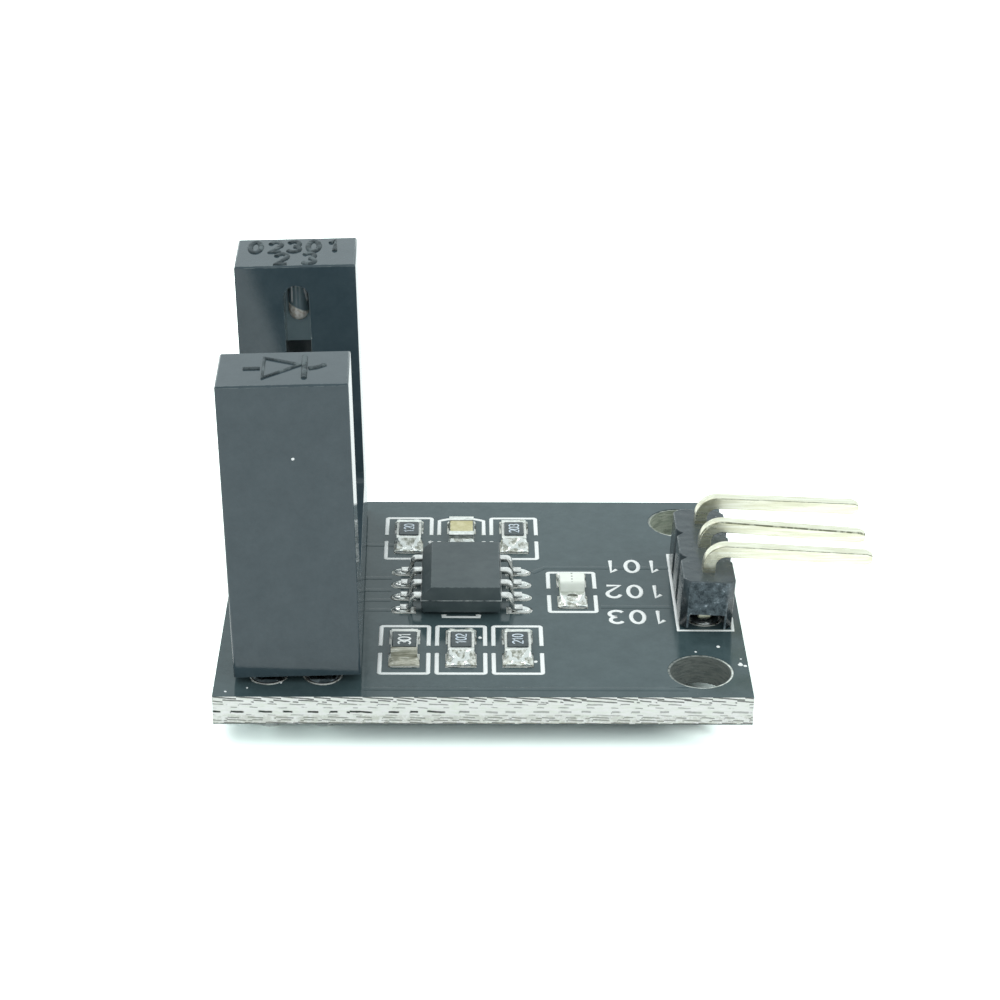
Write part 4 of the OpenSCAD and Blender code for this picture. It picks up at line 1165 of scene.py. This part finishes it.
def fillet_piece(name, joints, finish, *nodes):
    """One piece of the fillets at both ends of each joint, given as its spot, height and seed."""
    fillets = bmesh.new()
    for (x, y), height, seed in joints:
        for side in (-1, 1):
            chip_fillet(fillets, x, y + side * chip_l / 2, side, height, seed + 0.7 * side)
    piece = new_piece(name, as_mesh(fillets, name), finish, "solder", *nodes)
    rounding = piece.modifiers.new("rounding", "SUBSURF")
    rounding.levels = 1
    rounding.render_levels = 1


def fillet_finish():
    """Frosted solder, grey to beige, with a near-white painted highlight along its raised arms."""
    material, place = start_finish("fillet_solder")
    lumps = cloudy(place, 5.0, 5.0, 0.7)
    frosted = smooth_step(lumps, 0.38, 0.6)
    frost = blend_colour(frosted, (0.36, 0.37, 0.31, 1), (0.88, 0.89, 0.84, 1))
    painted_ridge_highlight = attribute(material.node_tree, "painted_ridge_highlight")
    # Painted highlight: near-white where the ridge mark is high
    bright = smooth_step(math("ADD", painted_ridge_highlight, minus(lumps, 0.5)), 0.28, 0.5)
    colour = blend_colour(bright, frost, (0.97, 1.0, 0.97, 1))
    rough = between(bright, 0.5, 0.18)
    surface = relief(cloudy(place, 9.0, 3.0), 0.012)
    return end_finish(material, colour, rough, surface, {"Metallic": 0.75})


# The first resistor's solder is thin and dull, and the others' is full and bright
fillet_heights = [0.05, 0.44, 0.44, 0.42, 0.40, 0.42]
led_fillet_height = 0.20
joints = [(spot, height, 1.3 * k) for k, (spot, height) in enumerate(zip(chip_spots, fillet_heights))]
bright_joints = joints[1:] + [(led_spot, led_fillet_height, 11.3)]
fillet_piece("chip_fillets", bright_joints, fillet_finish(), "chip_solder")
fillet_piece("dull_fillets", joints[:1], dull_band)


# Pin header
# A notched black strip stands over the plated holes, and three square pins go through it.
# They are tinned with a pale yellow cast, bent over to the right and cut to blunt points.
def strip_finish():
    """Moulded plastic, with the strip's two sawn ends scuffed pale."""
    material, place = start_finish("header_plastic")
    tone = cloudy(place, 1.4, 5.0, 0.65)
    colour = blend_colour(tone, (0.022, 0.034, 0.042, 1), (0.060, 0.080, 0.090, 1))
    # Bevelled edges lightened: partly wear and partly a painted highlight
    rub_and_painted_highlight = mask_of(edge_rub_and_painted_highlight, place, 4.0, 0.4)
    colour = blend_colour(rub_and_painted_highlight, colour, (0.18, 0.21, 0.22, 1))
    specks = mask_of(dust, place, 4.0, 0.16, 0.14)
    colour = blend_colour(times(specks, 0.35), colour, (0.5, 0.56, 0.6, 1))
    near_end = smooth_step(math("ABSOLUTE", axes(place)["Y"]), 3.3, 3.5)
    facing = axes(coordinates(material.node_tree, "Normal"))["Y"]
    sawn = times(near_end, smooth_step(math("ABSOLUTE", facing), 0.6, 0.85))
    scuffs = cloudy(place, 3.2, 6.0, 0.8)
    grey = smooth_step(scuffs, 0.34, 0.62)
    scuffed = blend_colour(grey, (0.035, 0.050, 0.058, 1), (0.150, 0.190, 0.215, 1))
    scuffed = blend_colour(smooth_step(scuffs, 0.60, 0.66), scuffed, (0.55, 0.64, 0.70, 1))
    colour = blend_colour(sawn, colour, scuffed)
    rough = between(cloudy(place, 2.2, 5.0, 0.7), 0.06, 0.34)
    fine = relief(cloudy(place, 9.0, 3.0), 0.006)
    surface = relief(cloudy(place, 1.6, 3.0), 0.05, fine)
    return end_finish(material, colour, rough, surface)


strip_middle = board_corner.x + header_x * mm
strip_channel_top = mask_face + 1.0 * mm
pin_room = 0.6 * mm


def on_outside(first, second):
    """Whether an edge of the strip lies on its outside, clear of the pins' holes and the channel."""
    clear = min(abs(v.x - strip_middle) for v in (first, second)) > pin_room
    return clear and max(first.z, second.z) > strip_channel_top


dress_node("pin_strip", "header_body", strip_finish(), "header_plastic", 0.07, 3, wanted=on_outside)
bend_x = strip_middle / mm


def pin_finish():
    """Bright tin over brass, drawn lengthways, with painted shade in tan patches near the bend and a painted
    dark reflection along its upper edges.
    """
    material, place = start_finish("pin_metal")
    drawn = scaled(place, (0.5, 9.0, 9.0))
    streaks = smooth_step(cloudy(drawn, 1.0, 4.0, 0.6), 0.35, 0.65)
    colour = blend_colour(streaks, (0.80, 0.78, 0.60, 1), (0.98, 0.97, 0.83, 1))
    # Painted shade: tan patches on the pins near the bend
    painted_bend_shade = minus(1.0, smooth_step(axes(place)["X"], bend_x + 0.4, bend_x + 1.3))
    patches = smooth_step(cloudy(place, 1.5, 3.0), 0.46, 0.56)
    colour = blend_colour(times(painted_bend_shade, patches, 0.32), colour, (0.45, 0.40, 0.26, 1))
    # Painted reflection: a broken dark line on the bevels that slope upwards
    up = axes(coordinates(material.node_tree, "Normal"))["Z"]
    sloping = times(smooth_step(up, 0.1, 0.3), minus(1.0, smooth_step(up, 0.9, 0.98)))
    edge = attribute(material.node_tree, "edge")
    scales = smooth_step(cloudy(place, 2.6, 4.0, 0.7), 0.36, 0.56)
    painted_dark_edge = times(edge, sloping, between(scales, 0.25, 0.95))
    colour = blend_colour(painted_dark_edge, colour, (0.20, 0.20, 0.13, 1))
    rough = between(cloudy(drawn, 1.6, 3.0), 0.22, 0.36)
    surface = relief(cloudy(drawn, 1.4, 3.0), 0.004)
    return end_finish(material, colour, rough, surface, {"Metallic": 1.0})


pin_metal = pin_finish()
for k in range(1, 4):
    dress_node(f"bent_pin_{k}", f"header_pin_{k}", pin_metal, "pin_metal", 0.085, 3, crease=40)

# Nicks and grains
# A chip in the mask at the right edge shows the white glass below. A few grains of dust and
# solder lie near the sensor and the front mounting hole, and one clings to the front tower.
grain_spots = [
    (23.71, 4.58, 0.09), (22.62, 4.10, 0.06), (24.62, 2.92, 0.12), (24.84, 2.80, 0.08),
    (24.70, 3.45, 0.05), (4.66, 1.63, 0.06), (3.11, 1.18, 0.05), (1.57, 0.72, 0.05),
    (0.59, 0.40, 0.06), (12.36, 5.40, 0.09), (14.98, 3.15, 0.10),
]
lying = Vector((1, 1, 0.4))
clinging = Vector((1, 0.4, 1))
tower_speck = to_sensor @ (Vector((0.33, -sensor_l / 2, 11.5)) * mm)
grain_places = [(on_board(x, y, 0.01), r, lying) for x, y, r in grain_spots]
grain_places.append((tower_speck, 0.07, clinging))
grains = bmesh.new()
for k, (place, r, flatness) in enumerate(grain_places):
    grain = bmesh.new()
    bmesh.ops.create_icosphere(grain, subdivisions=2, radius=r * mm)
    for v in grain.verts:
        v.co *= 1 + 0.45 * noise.noise(v.co * 9000 + Vector((k, 0, 0)))
    bmesh.ops.scale(grain, vec=flatness, verts=grain.verts)
    bmesh.ops.translate(grain, vec=place, verts=grain.verts)
    add_to(grains, grain)
new_piece("grains", as_mesh(grains, "grains"), white_legend, "white_legend")
